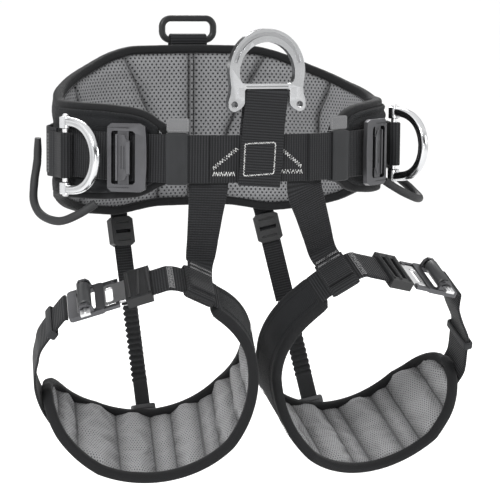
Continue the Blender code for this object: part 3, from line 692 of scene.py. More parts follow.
def rounded(width, height, radius, centre=(0, 0), steps=6):
    points = []
    for k, (sx, sy) in enumerate(((1, 1), (-1, 1), (-1, -1), (1, -1))):
        middle = (centre[0] + sx * (width / 2 - radius), centre[1] + sy * (height / 2 - radius))
        for step in range(steps + 1):
            angle = pi / 2 * (k + step / steps)
            points.append((middle[0] + radius * cos(angle), middle[1] + radius * sin(angle)))
    return points


def plate(name, place, outline, thickness, holes=(), centre=0.0):
    """A flat plate across the z axis of place, with its sizes in millimetres."""
    bm = bmesh.new()
    edges = []
    for loop in (outline, *holes):
        verts = [bm.verts.new((x * MM, y * MM, (centre - thickness / 2) * MM)) for x, y in loop]
        edges += [bm.edges.new((a, b)) for a, b in zip(verts, verts[1:] + verts[:1])]
    bmesh.ops.triangle_fill(bm, edges=edges, use_beauty=True)
    made = bmesh.ops.extrude_face_region(bm, geom=bm.faces[:])
    moved = [v for v in made["geom"] if isinstance(v, bmesh.types.BMVert)]
    bmesh.ops.translate(bm, verts=moved, vec=(0, 0, thickness * MM))
    return from_bmesh(name, bm, place)


def block(name, place, *ranges):
    """A box in the axes of place, from its x, y and z ranges in millimetres."""
    x, y, z = ([end * MM for end in sorted(ends)] for ends in ranges)
    bm = bmesh.new()
    bmesh.ops.create_cube(bm, size=1.0)
    size = Matrix.Diagonal((x[1] - x[0], y[1] - y[0], z[1] - z[0], 1))
    bm.transform(Matrix.Translation([(a + b) / 2 for a, b in (x, y, z)]) @ size)
    return from_bmesh(name, bm, place)


def mirrored(points):
    """The points, then their mirror images in the x axis, back to the start."""
    return points + [(x, -y) for x, y in reversed(points)]


def arc(x, y, wide, tall, start, end, steps):
    """Points on an oval round (x, y), from start to end degrees."""
    turns = [radians(start + (end - start) * k / steps) for k in range(steps + 1)]
    return [(x + wide * cos(a), y + tall * sin(a)) for a in turns]


def squared(a, power):
    """The radius at angle a of a circle that swells towards a square."""
    return 1.0 / (abs(cos(a)) ** power + abs(sin(a)) ** power) ** (1 / power)


def dome(inset, reach):
    """0 at an edge, rising to 1 at reach from it."""
    return 1 - (1 - min(1.0, inset / reach)) ** 2


def turned(profile, place, name, sides=32):
    """A round piece about the y axis of place. profile holds (y, radius) points."""
    verts = [place @ Vector((r * cos(a), y, r * sin(a)))
             for y, r in profile for a in (2 * pi * k / sides for k in range(sides))]
    return make(name, verts, rings_to_faces(len(profile), sides, False))


def rod(name, place, y0, y1, radius, chamfer=0.4 * MM, sides=32, slope=None):
    """A rod along the y axis of place; its ends lose chamfer in radius over a length of slope."""
    slope = slope or chamfer
    return turned([(y0, radius - chamfer), (y0 + slope, radius), (y1 - slope, radius),
                   (y1, radius - chamfer)], place, name, sides)


def sleeve(name, place, width, thickness, length, wall, corner=1.2 * MM, bulge=0.0):
    """A band of webbing or elastic round the x axis of place."""
    rows = []
    steps = 10
    for k in range(steps + 1):
        x = (k / steps - 0.5) * length
        swell = bulge * (1 - (2 * k / steps - 1) ** 2)
        edge = 0.35 * wall if k in (0, steps) else 0
        rows.append((x, wall - edge + swell))
    for k in range(steps, -1, -1):
        rows.append(((k / steps - 0.5) * length, 0.0))
    verts, marks = [], []
    for x, grow in rows:
        outline = rounded(width + 2 * grow, thickness + 2 * grow, corner + grow * 0.8, steps=4)
        around = 0.0
        for i, (y, z) in enumerate(outline):
            if i:
                around += Vector((y - outline[i - 1][0], z - outline[i - 1][1])).length
            verts.append(place @ Vector((x, y, z)))
            marks.append((around, x, grow))
    return make(name, verts, rings_to_faces(len(rows), len(outline), True), marks, 50)


THREAD_R = 0.42 * MM


def stitch_mesh(lines, pitch=2.6 * MM, radius=THREAD_R, gap=0.22):
    """Short raised stitches along each line. A line holds (point, normal) pairs."""
    verts, faces = [], []
    sides = 6
    for line in lines:
        lengths = [0.0]
        for (p, _), (q, _) in zip(line, line[1:]):
            lengths.append(lengths[-1] + (q - p).length)
        count = max(1, round(lengths[-1] / pitch))
        step = lengths[-1] / count

        def at(s):
            i = max(k for k in range(len(lengths) - 1) if lengths[k] <= s + 1e-9)
            part = (s - lengths[i]) / max(lengths[i + 1] - lengths[i], 1e-9)
            (p, p_out), (q, q_out) = line[i], line[i + 1]
            return p.lerp(q, part), p_out.lerp(q_out, part).normalized()

        for k in range(count):
            first, last = (k + gap / 2) * step, (k + 1 - gap / 2) * step
            start = len(verts)
            rings = 5
            forward = (at(last)[0] - at(first)[0]).normalized()
            for i in range(rings):
                part = i / (rings - 1)
                point, normal = at(first + (last - first) * part)
                side = forward.cross(normal)
                swell = sin(pi * (0.12 + 0.76 * part))
                middle = point + normal * (radius * (swell - 0.55))
                for j in range(sides):
                    a = 2 * pi * j / sides
                    verts.append(middle + (side * cos(a) + normal * sin(a)) * radius * (0.35 + 0.65 * swell))
            faces += [tuple(start + f for f in face) for face in rings_to_faces(rings, sides, False)]
    return verts, faces


def stitches(name, lines, look, node, **kind):
    verts, faces = stitch_mesh(lines, **kind)
    return settle(make(name, verts, faces), look, node, replaces=False)


def zigzag(start, end, normal, reach, turns):
    """A close zigzag of thread from start to end."""
    across = normal.cross(end - start).normalized() * reach
    points = []
    for k in range(2 * turns + 1):
        sign = 1 if k % 2 else -1
        points.append((start.lerp(end, k / (2 * turns)) + across * sign, normal))
    return points


# ---------------------------------------------------------------- looks used by more than one piece

# Colour of the painted shade in the padding's sewn creases.
PAINTED_CREASE_SHADE = (0.012, 0.012, 0.013)
LOOKS = {
    "belt_web": webbing_look("black_belt_webbing", (0.0125, 0.0128, 0.0138), pitch=2.6 * MM, warp=2.2 * MM,
                             rib=0.4 * MM),
    "leg_web": webbing_look("black_ribbed_webbing", (0.0125, 0.0128, 0.0138), pitch=2.7 * MM, warp=2.6 * MM,
                            rib=0.5 * MM),
    "binding": webbing_look("black_binding_tape", (0.009, 0.0092, 0.0098), pitch=0.8 * MM, warp=0.9 * MM,
                            rib=0.12 * MM, rough=(0.7, 0.9)),
    "elastic": elastic_look("black_elastic", (0.014, 0.0145, 0.0155)),
    "belt_mesh": mesh_look("grey_spacer_mesh", (0.2, 0.202, 0.207), 4.3 * MM, 0.3, (0.016, 0.016, 0.018)),
    "leg_mesh": mesh_look("grey_knit_padding", (0.25, 0.251, 0.255), 2.8 * MM, 0.29, (0.035, 0.035, 0.037)),
    "shell": cloth_look("black_cover_cloth", (0.0105, 0.011, 0.012)),
    "wing": cloth_look("black_soft_cover", (0.0115, 0.012, 0.013), pitch=0.7 * MM),
    "tab": cloth_look("grey_felt_tab", (0.13, 0.131, 0.134), pitch=0.8 * MM, sheen=0.15),
    "anodised": metal_look("grey_anodised_plate", (0.058, 0.058, 0.061), (0.3, 0.46), wear=2.6),
    "dark_metal": metal_look("dark_anodised_bar", (0.035, 0.035, 0.037), (0.35, 0.5), wear=2.0),
    "polished": metal_look("polished_aluminium", (0.53, 0.535, 0.544), (0.1, 0.24), wear=1.55),
    "steel": metal_look("bright_steel_tongue", (0.64, 0.64, 0.645), (0.22, 0.36), wear=1.4),
    "plastic": plastic_look("black_moulded_plastic", (0.0095, 0.0097, 0.0102), rough=(0.28, 0.5)),
    "rubber": plastic_look("black_rubber_tube", (0.0125, 0.0128, 0.0135), rough=(0.5, 0.72), grain=0.2 * MM),
    "roller": plastic_look("grey_black_roller", (0.022, 0.0225, 0.0235), rough=(0.3, 0.5)),
    "clip": plastic_look("grey_moulded_clip", (0.06, 0.0605, 0.063)),
    "pale_thread": thread_look("pale_thread", (0.56, 0.56, 0.55)),
    "dark_thread": thread_look("black_thread", (0.016, 0.016, 0.017)),
    "grey_thread": thread_look("grey_thread", (0.2, 0.2, 0.203)),
}


# ---------------------------------------------------------------- waist belt pieces

def belt_edge(table, from_rear):
    return along(table, abs(from_rear)) * MM


def smooth_edge(table, from_rear, reach=3.0):
    """The belt's edge with its corners rounded off."""
    return sum(belt_edge(table, from_rear + reach * k / 3) for k in range(-3, 4)) / 7


LINER_EDGE, WING_EDGE = 5.5 * MM, 6.5 * MM


def belt_span(a, inset):
    """The belt's bottom and top at degrees from the rear, drawn in by inset."""
    return smooth_edge(BELT_BOTTOM, a) + inset, smooth_edge(BELT_TOP, a) - inset


def outwards(angle):
    """The belt's outward direction."""
    return (waist(angle, 1) - waist(angle, 0)).normalized()


SEAM_GAP = 1.0  # degrees from the middle to each of the two rear seams
SLANT_LOW, SLANT_TOP = 12.5, 26.5  # degrees of the slanting seam at the belt's middle and top


def slant_at(z):
    """Degrees from the rear centre of the slanting seam at a height."""
    return SLANT_LOW + (SLANT_TOP - SLANT_LOW) * max(0.0, (z + 5 * MM) / (90 * MM)) ** 1.25


def side_seam_at(z):
    return 51 + 5.5 * ease(20 * MM, 60 * MM, z)


def seam_depth(a, z):
    """How far the sewn seams pull the liner in, from 0 to 1."""
    turned = abs(a)
    found = 0.0
    for at, wide in ((SEAM_GAP, 0.55), (slant_at(z), 1.1), (side_seam_at(z), 1.0), (84, 1.2), (120, 1.2)):
        found = max(found, exp(-((turned - at) / wide) ** 2))
    return found


def painted_seam_shade(a, z):
    """How dark the painted shade of a sewn crease is at a place on the liner, from 0 to 1."""
    turned = abs(a)
    found = 0.0
    for at, wide in ((SEAM_GAP, 0.4), (slant_at(z), 0.75), (side_seam_at(z), 0.7)):
        away = turned - at
        found = max(found, exp(-(away / wide) ** 2), 0.33 * exp(-(away / 3.2) ** 2))
    return found


def liner_point(a, v):
    bottom, top = belt_span(a, LINER_EDGE)
    z = bottom + (top - bottom) * v
    edge = dome(min(v, 1 - v) * (top - bottom), 14 * MM)
    puff = 0.5 * noise(Vector((a * 0.06, z * 22, 3.0))) * MM
    ruck = 0.9 * MM * exp(-((abs(a) - slant_at(z) - 5) / 5) ** 2) * sin(2 * pi * z / (13 * MM))
    inward = 1.8 * MM + 5.6 * MM * edge * (1 - 0.82 * seam_depth(a, z)) + puff + ruck * edge
    return waist(270 + a, LINER_OUT - inward, z)


def belt_pads():
    us = span(-BELT_END + 1.5, BELT_END - 1.5, 0.55)
    vs = [k / 44 for k in range(45)]

    def mark(a, v):
        bottom, top = belt_span(a, 0)
        z = bottom + (top - bottom) * v
        # The third measure is the painted shade along the sewn seams.
        return (radians(a) * 0.142, z, painted_seam_shade(a, z))

    def liner_back(a, v):
        return liner_point(a, v) + outwards(270 + a) * 2 * MM

    liner = slab("belt_liner_mesh", us, vs, liner_point, liner_back, mark)
    settle(liner, LOOKS["belt_mesh"], "belt_liner")

    def shell_point(a, v, out):
        bottom, top = belt_span(a, LINER_EDGE)
        z = bottom + (top - bottom) * v
        edge = dome(min(v, 1 - v) * (top - bottom), 12 * MM)
        clear = ease(22 * MM, 34 * MM, abs(z)) if abs(a) < 100 else 0.0
        crown = 1.6 * MM * edge * clear + 0.35 * MM * noise(Vector((a * 0.09, z * 30, 7.0)))
        return waist(270 + a, out + crown * (1 - 0.7 * seam_depth(a, z)), z)

    shell = slab("belt_shell_cover", us[::2], vs[::2], lambda a, v: shell_point(a, v, SHELL_IN + 0.4 * MM),
                 lambda a, v: shell_point(a, v, SHELL_OUT - 0.2 * MM), mark)
    settle(shell, LOOKS["shell"], "belt_shell")

    lines = []
    for sign in (-1, 1):
        for seam, low, high in ((lambda z: SEAM_GAP, -58, 86), (slant_at, -62, 80), (side_seam_at, -50, 58)):
            line = []
            for z in (k * MM for k in span(low, high, (high - low) / 59)):
                a = sign * seam(z)
                bottom, top = belt_span(a, LINER_EDGE)
                v = min(max((z - bottom) / (top - bottom), 0.02), 0.98)
                line.append((liner_point(a, v), -outwards(270 + a)))
            lines.append(line)
    stitches("belt_liner_seams", lines, LOOKS["dark_thread"], "belt_liner", radius=0.38 * MM)


def binding_path(tip=1.2, inset=BINDING_R):
    turns = span(-BELT_END, BELT_END, 1.5)
    edge = [(a, smooth_edge(BELT_TOP, a) - inset) for a in turns]
    edge += [(BELT_END + tip, z * MM) for z in (24, 12, 0, -10, -19)]
    edge += [(a, smooth_edge(BELT_BOTTOM, a) + inset) for a in reversed(turns)]
    edge += [(-BELT_END - tip, z * MM) for z in (-19, -10, 0, 12, 24)]
    return edge


def belt_binding():
    middle = (LINER_IN + SHELL_OUT) / 2
    edge = binding_path()
    path = [waist(270 + a, middle, z) for a, z in edge]
    ups = [outwards(270 + a) for a, z in edge]

    def folded(k, a):
        """Flat flanks with a tight round fold, like tape folded over an edge."""
        return squared(a, 3.2) * (1 + 0.012 * sin(k * 900))

    tape = hose("belt_binding_tape", path, BINDING_R * 1.02, 24, 1, True, 1.22, ups, folded)
    settle(tape, LOOKS["binding"], "belt_binding")
    seam = binding_path(0.6, 8.1 * MM)
    inner = [(waist(270 + a, LINER_IN - 0.25 * MM, z), -outwards(270 + a)) for a, z in seam]
    outer = [(waist(270 + a, SHELL_OUT + 0.2 * MM, z), outwards(270 + a)) for a, z in seam]
    stitches("belt_binding_stitches", [inner + inner[:1], outer + outer[:1]], LOOKS["dark_thread"],
             "belt_binding", radius=0.35 * MM)


def wing_pads():
    us = span(WING_START, BELT_END - 1.5, 0.6)
    vs = [k / 46 for k in range(47)]
    for word, side in SIDES.items():

        def height(a, v):
            bottom, top = belt_span(a, WING_EDGE)
            return bottom + (top - bottom) * v, min(v, 1 - v) * (top - bottom)

        def front(a, v):
            z, inset = height(a, v)
            tip = (BELT_END - 1.5 - a) * 2.3 * MM
            inset = min(inset, tip)
            lip = 1.3 * MM * sin(pi * min(1.0, inset / (4.6 * MM))) ** 0.7 if inset < 4.6 * MM else 0.0
            body = 2.2 * MM * ease(4.6 * MM, 10 * MM, inset)
            clear = 1 - ease(30 * MM, 24 * MM, abs(z))
            wave = 0.3 * MM * noise(Vector((a * 0.2, z * 60, side)))
            return waist(270 + side * a, WING_OUT - 1.2 * MM + max(lip, body * clear) + wave, z)

        def back(a, v):
            return waist(270 + side * a, WING_IN, height(a, v)[0])

        wing = slab(f"wing_pad_cover_{word}", us, vs, back, front,
                    lambda a, v: (radians(a) * 0.15, height(a, v)[0], 0.0))
        settle(wing, LOOKS["wing"], f"wing_pad_{word}")


def belt_webbing():
    def rear_out(a):
        return 2 * LAYER - (2 * LAYER - SHELL_OUT - LAYER / 2 - GAP) * ease(-96, -82, -abs(a))

    points = [waist(270 + a, rear_out(a)) for a in span(-103, 103, 4)]
    settle(strap("rear_webbing_band", points, UP, WEBBING_W, WEBBING_T), LOOKS["belt_web"], "rear_webbing")
    points = [waist(a) for a in span(60, 120, 4)]
    settle(strap("front_webbing_band", points, UP, WEBBING_W, WEBBING_T), LOOKS["belt_web"], "front_webbing")
    for word, side in SIDES.items():
        points = [waist(90 - side * a, LAYER * ease(37, 31, a)) for a in span(17, 76, 3)]
        band = strap(f"side_webbing_band_{word}", points, UP, WEBBING_W, WEBBING_T)
        settle(band, LOOKS["belt_web"], f"side_webbing_{word}")
        where = 81
        base = [waist(90 - side * where, 3 * LAYER + GAP + WEBBING_T / 2, z * MM + RING_LIFT[word])
                for z in (-19, -9, 0, 9, 19)]
        line = [(p, outwards(90 - side * where)) for p in base]
        stitches(f"ring_loop_stitches_{word}", [line], LOOKS["grey_thread"], f"side_webbing_{word}",
                 radius=0.45 * MM, pitch=3.2 * MM)


def belt_keepers():
    for word, side in SIDES.items():
        place = waist_frame(side, KEEPERS[word], LAYER / 2)
        band = sleeve(f"belt_keeper_elastic_{word}", place, WEBBING_W + 2 * GAP, 2 * LAYER + 2.2 * MM,
                      20 * MM, 1.5 * MM, bulge=0.25 * MM)
        settle(band, LOOKS["elastic"], f"belt_keeper_{word}")
        spot = place @ Matrix.Translation((1 * MM, WEBBING_W / 2 + 8.9 * MM, 2 * MM))
        tab = soften(plate(f"keeper_tab_felt_{word}", spot, rounded(21, 13, 2.2), 1.7), 0.5 * MM)
        settle(tab, LOOKS["tab"], f"keeper_tab_{word}")
        lines = []
        for zz, sign in ((0.95 * MM, 1), (-0.95 * MM, -1)):
            outline = rounded(18.4 * MM, 10.4 * MM, 1.6 * MM)
            normal = (spot.to_3x3() @ Vector((0, 0, sign))).normalized()
            lines.append([(spot @ Vector((x, y, zz)), normal) for x, y in outline + outline[:1]])
        stitches(f"keeper_tab_stitches_{word}", lines, LOOKS["grey_thread"], f"keeper_tab_{word}",
                 radius=0.28 * MM, pitch=2.4 * MM)


def waist_buckles():
    half = BUCKLE_H / 2 / MM
    window = half - 7
    bow = 1.8
    heights = [0.92 * half * (1 - k / 6) for k in range(13)]
    right = [(17.4 + bow * (1 - (y / half) ** 2), y) for y in heights]
    shape = [(-15, half), (-19, half - 3.4), (-19, -half + 3.4), (-15, -half), (12.5, -half)]
    shape += right[::-1] + [(12.5, half)]
    hole = mirrored([(-15, window - 1.6), (-13.4, window), (5.6, window), (8, window - 2.4)])
    lock = mirrored([(-7, 22), (1.5, 21), (3.2, 17), (6.8, 15.5)])
    for word, side in SIDES.items():
        place = waist_frame(side, BUCKLE_ANGLE[word], BUCKLE_OUT)
        body = plate(f"waist_buckle_plate_{word}", place, shape, BUCKLE_T / MM, [hole])
        tools = []
        for sign in (-1, 1):
            run = (sign * (window - 0.5), sign * (window + 3.6))
            tools.append(block("groove", place, (-14.2, 7), run, (-1.25, 1.25)))
            run = (sign * (half - 4.6), sign * (half - 3.5))
            tools.append(block("line", place, (-21, 2), run, (1.5, 4)))
        settle(soften(cut(body, tools), 0.55 * MM), LOOKS["anodised"], f"waist_buckle_{word}")

        spot = place @ Matrix.Translation((-4 * MM, 0, 0))
        bar = plate(f"waist_buckle_lock_{word}", spot, lock[::-1], 3, centre=-0.1)
        cut(bar, [block("lip", spot, (3.6, 6.9), (-15, 15), (0.6, 2.75)),
                  block("rear_lip", spot, (-7, -5.2), (-21.5, 21.5), (0, 2.3)),
                  block("runner", spot, (-5, 5.6), (-window - 3.2, window + 3.2), (-0.9, 0.9))], "UNION")
        for x in (-1.6, 1.2):
            cut(bar, [block("slot", spot, (x - 0.35, x + 0.35), (-11, 11), (0.9, 4))])
        settle(soften(bar, 0.35 * MM, 2), LOOKS["anodised"], f"waist_buckle_bar_{word}")


def side_rings():
    for word, side in SIDES.items():
        base = waist_frame(side, RING_BAR_ANGLE, RING_BAR_OUT, RING_LIFT[word])
        reach = RING_BOSS_Z + 8 * MM
        pin = turned([(-reach, 1.6 * MM), (-reach + 0.5 * MM, 2.6 * MM), (-reach + 1 * MM, RING_BAR_R),
                      (reach - 1 * MM, RING_BAR_R), (reach - 0.5 * MM, 2.6 * MM), (reach, 1.6 * MM)],
                     base, f"side_ring_pin_{word}")
        settle(pin, LOOKS["steel"], f"side_ring_bar_{word}")
        place = base @ Matrix.Rotation(-radians(RING_SWING[word]), 4, "Y")
        path = []
        steps = 72
        for k in range(steps + 1):
            a = pi / 2 - pi * k / steps
            point = Vector((RING_DEPTH * abs(cos(a)) ** 0.72, RING_HALF_H * sin(a), 0))
            path.append(place @ point)
        face = (place.to_3x3() @ Vector((0, 0, 1))).normalized()

        def forged(k, a):
            """A flat-sided bar with a long groove in each face, thicker at its middle."""
            swell = 0.94 + 0.1 * sin(pi * k)
            groove = 0.13 * exp(-((abs(sin(a)) - 1) / 0.035) ** 2) * ease(0.06, 0.2, min(k, 1 - k))
            return swell * squared(a, 2.7) - groove

        ring = hose(f"side_ring_forged_{word}", path, 4.75 * MM, 32, 1, False, 0.84, face, forged)
        parts = []
        for where in (-1, 1):
            middle = where * RING_BOSS_Z
            low, high = middle - RING_BOSS_R, middle + RING_BOSS_R
            parts.append(rod("boss", place, low, high, RING_BOSS_R - 0.1 * MM, 0.8 * MM, slope=0.7 * MM))
        cut(ring, parts, "UNION")
        cut(ring, [rod("bore", place, -60 * MM, 60 * MM, RING_BAR_R + GAP)])
        ring.data.shade_smooth()
        ring.data.set_sharp_from_angle(angle=radians(42))
        settle(ring, LOOKS["polished"], f"side_ring_{word}")
        ring_loop(word, side, base)


def ring_loop(word, side, base):
    bend = RING_BAR_R + 2.5 * GAP + WEBBING_T / 2
    turn = [Vector((bend * cos(a), 0, bend * sin(a))) for a in (radians(-90 + 22.5 * k) for k in range(9))]
    back = (82, 78.5, 75)
    inner = [waist(90 - side * a, LAYER - GAP / 3) for a in back]
    outer = [waist(90 - side * a, 3 * LAYER + GAP) for a in reversed(back)]
    points = inner + [base @ p for p in turn] + outer
    for p in points:
        p.z = base.translation.z
    band = strap(f"side_ring_fold_{word}", points, UP, WEBBING_W - 2 * MM, WEBBING_T, 3)
    settle(band, LOOKS["belt_web"], f"side_ring_loop_{word}")


def gear_loops():
    for word, side in SIDES.items():
        points = [waist(90 - side * a, out * MM, z * MM) for a, out, z in GEAR_LOOPS[word]]

        def tubing(k, a):
            """Soft tubing, pressed flat where its two ends are sewn down."""
            end = 1 - ease(0.0, 0.1, min(k, 1 - k))
            return 1 - 0.25 * end * abs(cos(a)) + 0.015 * sin(k * 400)

        loop = hose(f"gear_loop_tubing_{word}", points, 4 * MM, 24, 8, shape=tubing)
        settle(loop, LOOKS["rubber"], f"gear_loop_{word}")


# ---------------------------------------------------------------- front and rear attachments

def front_frame():
    axes = Matrix(((1, 0, 0), (0, 0, -1), (0, 1, 0))).to_4x4()
    return Matrix.Translation(waist(90)) @ axes


def front_ring():
    place = front_frame() @ Matrix.Translation((FRONT_LEAN * FRONT_BAR_UP, FRONT_BAR_UP, FRONT_BAR_FORWARD))
    on_bar = place @ Matrix.Rotation(-pi / 2, 4, "Z")
    reach = FRONT_STRAP_W / 2 + 7.4 * MM
    settle(rod("front_bar_pin", on_bar, -reach, reach, FRONT_BAR_R), LOOKS["dark_metal"], "front_ring_bar")

    wide, tall, middle = 37.5, 40, 21
    left = [(-35.6, 6), (-36.4, 0), (-38.4, -7)] + arc(-32.4, -10.2, 5.9, 5.9, 172, 284, 7)
    left += [(-26, -13), (-23.4, -10.5), (-22.4, -8), (-22.4, 3.6), (-20.9, 5.1)]
    right = [(-x, y) for x, y in reversed(left)]
    corner = [(-27, 14.5), (-25.6, 11.6), (-23, 9.8)]
    opening = arc(0, 20, 27.5, 28.5, 0, 180, 40) + corner + [(-x, y) for x, y in reversed(corner)]
    eyes = [arc(x, -9.5, 3.2, 3.2, 0, 360, 28)[:-1] for x in (-32.4, 32.4)]
    shape = arc(0, middle, wide, tall, 0, 180, 48) + left + right
    ring = plate("front_ring_forged", place, shape, FRONT_RING_T / MM * 0.86, [opening, *eyes])
    near, far = 2.9, 6.6  # the face grooves' edges, from the rim
    groove = arc(0, middle, wide - far, tall - far, 14, 166, 40)
    groove += arc(0, middle, wide - near, tall - near, 14, 166, 40)[::-1]
    tools = []
    for sign in (1, -1):
        tools.append(plate("face_groove", place, groove, 5.1, centre=sign * 5.45))
        tools.append(block("bar_groove", place, (-21, 21), (6.6, 8.0), (sign * 2.9, sign * 8)))
    cut(ring, tools)
    cut(ring, [block("bar_housing", place, (sign * 22.6, sign * 29), (-3, 6), (-5, 5)) for sign in (-1, 1)],
        "UNION")
    cut(ring, [rod("bore", on_bar, -reach - 1 * MM, reach + 1 * MM, FRONT_BAR_R + GAP)])
    settle(soften(ring, 1.1 * MM, 4, 32), LOOKS["polished"], "front_ring")


def front_strap_point(x, y):
    """A point on the front face of the centre strap."""
    return front_frame() @ Vector((x + y * FRONT_LEAN, y, LAYER + 0.2 * MM + WEBBING_T / 2))


def front_strap():
    place = front_frame()
    bend = FRONT_BAR_R + 0.4 * MM + WEBBING_T / 2
    turn = [Vector((0, y, z)) for z, y in arc(FRONT_BAR_FORWARD, FRONT_BAR_UP, bend, bend, 0, 180, 8)]
    front = [Vector((0, y * MM, LAYER + 0.2 * MM)) for y in (-26, -10, 10, 30)]
    back = [Vector((0, y * MM, -LAYER - 1.4 * MM)) for y in (30, 10, -10, -24)]
    points = [place @ Vector((p.y * FRONT_LEAN, p.y, p.z)) for p in front + turn + back]
    band = strap("centre_strap_band", points, Vector((1, 0, 0)), FRONT_STRAP_W, WEBBING_T, 5, flats=12)
    settle(band, LOOKS["belt_web"], "centre_webbing")

    out = Vector((0, -1, 0))
    box = [(-17.6, 13.8), (-14, 14.6), (11.2, 15.2), (12.8, 13.2), (13.2, -12.6), (12.2, -14.2),
           (-15.2, -15.6), (-16.8, -14.6), (-17.6, 13.8)]
    shape = [front_strap_point(x * MM, y * MM) for x, y in box]
    lines = []
    for p, q in zip(shape, shape[1:]):
        lines.append(zigzag(p, q, out, 0.7 * MM, max(1, round((q - p).length / (2.3 * MM)))))
    stitches("centre_strap_stitch_box", lines, LOOKS["pale_thread"], "centre_webbing", radius=0.36 * MM,
             pitch=2.2 * MM, gap=0.1)

    def on_front(turn, z):
        """A point and normal on the front webbing, in degrees to the wearer's right of the front centre."""
        angle = 90 + turn
        point = waist(angle, WEBBING_T / 2 + 0.1 * MM, z * MM)
        return point, outwards(angle)

    tacks = (((15.4, -9), (7.6, 10), 1.9, 11), ((15.4, -14), (8.4, -14), 2.2, 9),
             ((-6.6, 9.5), (-14.2, -8.5), 1.9, 11), ((-6.0, -12.4), (-14.6, -13.4), 2.2, 9))
    lines = []
    for start, end, reach, turns in tacks:
        a, normal = on_front(*start)
        b, _ = on_front(*end)
        lines.append(zigzag(a, b, normal, reach * MM, turns))
    stitches("front_webbing_bartacks", lines, LOOKS["pale_thread"], "front_webbing", radius=0.3 * MM,
             pitch=3.6 * MM, gap=0.06)
    lines = [[(front_strap_point(x * MM, -22.5 * MM), out) for x in (-18, -6, 6, 18)]]
    stitches("centre_strap_hem_stitches", lines, LOOKS["dark_thread"], "centre_webbing", radius=0.3 * MM)


def rear_attachment():
    out = SHELL_OUT + LAYER / 2 + GAP + 3.5 * MM
    middle = Vector((0, WAIST_REAR + out, REAR_RING_Z))
    path = [middle + Vector((x, 0, z)) for x, z in
            rounded(2 * REAR_RING_HALF_W, REAR_RING_H, 9 * MM, (0, REAR_RING_H / 2), 14)]
    fine = []
    for p, q in zip(path, path[1:] + path[:1]):
        count = max(1, int((q - p).length / (2 * MM)))
        fine += [p.lerp(q, k / count) for k in range(count)]
    ring = hose("rear_ring_moulded", fine, REAR_RING_R, 24, 1, True, 1.0, Vector((0, 1, 0)),
                lambda k, a: squared(a, 2.5))
    settle(ring, LOOKS["plastic"], "rear_ring")
    bend = REAR_RING_R + GAP + WEBBING_T / 2 + 0.4 * MM
    turn = [middle + Vector((0, bend * cos(a), bend * sin(a))) for a in (pi * k / 8 for k in range(9))]
    outer = [Vector((0, middle.y + bend - k * MM, z * MM)) for k, z in ((1.2, 54), (1.2, 70), (0.4, 90))]
    inner = [Vector((0, WAIST_REAR + SHELL_OUT + LAYER / 2 + 1.3 * MM, z * MM)) for z in (86, 70, 54)]
    tab = strap("rear_ring_tab_band", outer + turn + inner, Vector((1, 0, 0)), 39 * MM, WEBBING_T, 4)
    settle(tab, LOOKS["belt_web"], "rear_ring_tab")
    back = Vector((0, 1, 0))
    y = middle.y + bend - 1.2 * MM + WEBBING_T / 2 + 0.1 * MM
    lines = []
    for z in (62 * MM, 74 * MM):
        lines.append(zigzag(Vector((-17 * MM, y, z)), Vector((17 * MM, y, z)), back, 2 * MM, 15))
    stitches("rear_tab_bartacks", lines, LOOKS["grey_thread"], "rear_ring_tab", radius=0.32 * MM,
             pitch=3.6 * MM, gap=0.06)


# ---------------------------------------------------------------- leg loop pieces

# Loop angles where the leg pads are sewn: each cushion's start and end, with how full it is
CUSHIONS = {
    "right": ((56, 75, 0.6), (75, 96, 0.8), (96, 118, 0.9), (118, 132, 0.9), (132, 148, 1.0),
              (148, 158, 0.4), (158, 175, 1.0), (175, 187, 0.4), (187, 207, 1.0), (207, 234, 1.0),
              (234, 250, 0.8), (250, 263, 0.6)),
    "left": ((44, 64, 0.6), (64, 86, 0.8), (86, 106, 0.9), (106, 122, 0.9), (122, 143, 1.0),
             (143, 152, 0.4), (152, 173, 1.0), (173, 183, 0.4), (183, 203, 1.0), (203, 213, 0.4),
             (213, 233, 1.0), (233, 248, 0.8)),
}
PAD_TRIM = 5 * MM


def cushion(word, a):
    """How full the pad is at a loop angle, and how close that is to a sewn line as the amount of painted
    crease shade, both from 0 to 1.
    """
    for low, high, full in CUSHIONS[word]:
        if low <= a <= high:
            part = (a - low) / (high - low)
            near = min(a - low, high - a)
            return full * sin(pi * part) ** 0.6, max(exp(-(near / 0.9) ** 2), 0.55 * exp(-(near / 3.6) ** 2))
    return 0.0, 0.0


def inflate(obj, pinned, pressure, cap, steps=20):
    """Blows the cushion up as cloth between its sewn lines, and caps how far each point may move."""
    before = np.empty(len(obj.data.vertices) * 3)
    obj.data.vertices.foreach_get("co", before)
    before = before.reshape(-1, 3)
    group = obj.vertex_groups.new(name="sewn")
    for index, weight in pinned:
        group.add([index], weight, "REPLACE")
    cloth = obj.modifiers.new("cloth", "CLOTH")
    settings = cloth.settings
    settings.quality = 6
    settings.mass = 0.12
    settings.tension_stiffness = 12
    settings.compression_stiffness = 12
    settings.bending_stiffness = 0.4
    settings.use_pressure = True
    settings.uniform_pressure_force = pressure
    settings.vertex_group_mass = "sewn"
    settings.effector_weights.gravity = 0.0
    settings.shrink_min = -0.06
    cloth.collision_settings.use_collision = False
    cloth.collision_settings.use_self_collision = False
    cloth.point_cache.frame_start = 1
    cloth.point_cache.frame_end = steps
    for number in range(1, steps + 1):
        bpy.context.scene.frame_set(number)
    graph = bpy.context.evaluated_depsgraph_get()
    after = np.empty(len(obj.data.vertices) * 3)
    obj.evaluated_get(graph).data.vertices.foreach_get("co", after)
    after = after.reshape(-1, 3)
    obj.modifiers.clear()
    move = after - before
    far = np.linalg.norm(move, axis=1, keepdims=True)
    move *= np.minimum(1.0, cap / np.maximum(far, 1e-9))
    obj.data.vertices.foreach_set("co", (before + move).ravel())
    obj.data.update()
    bpy.context.scene.frame_set(1)


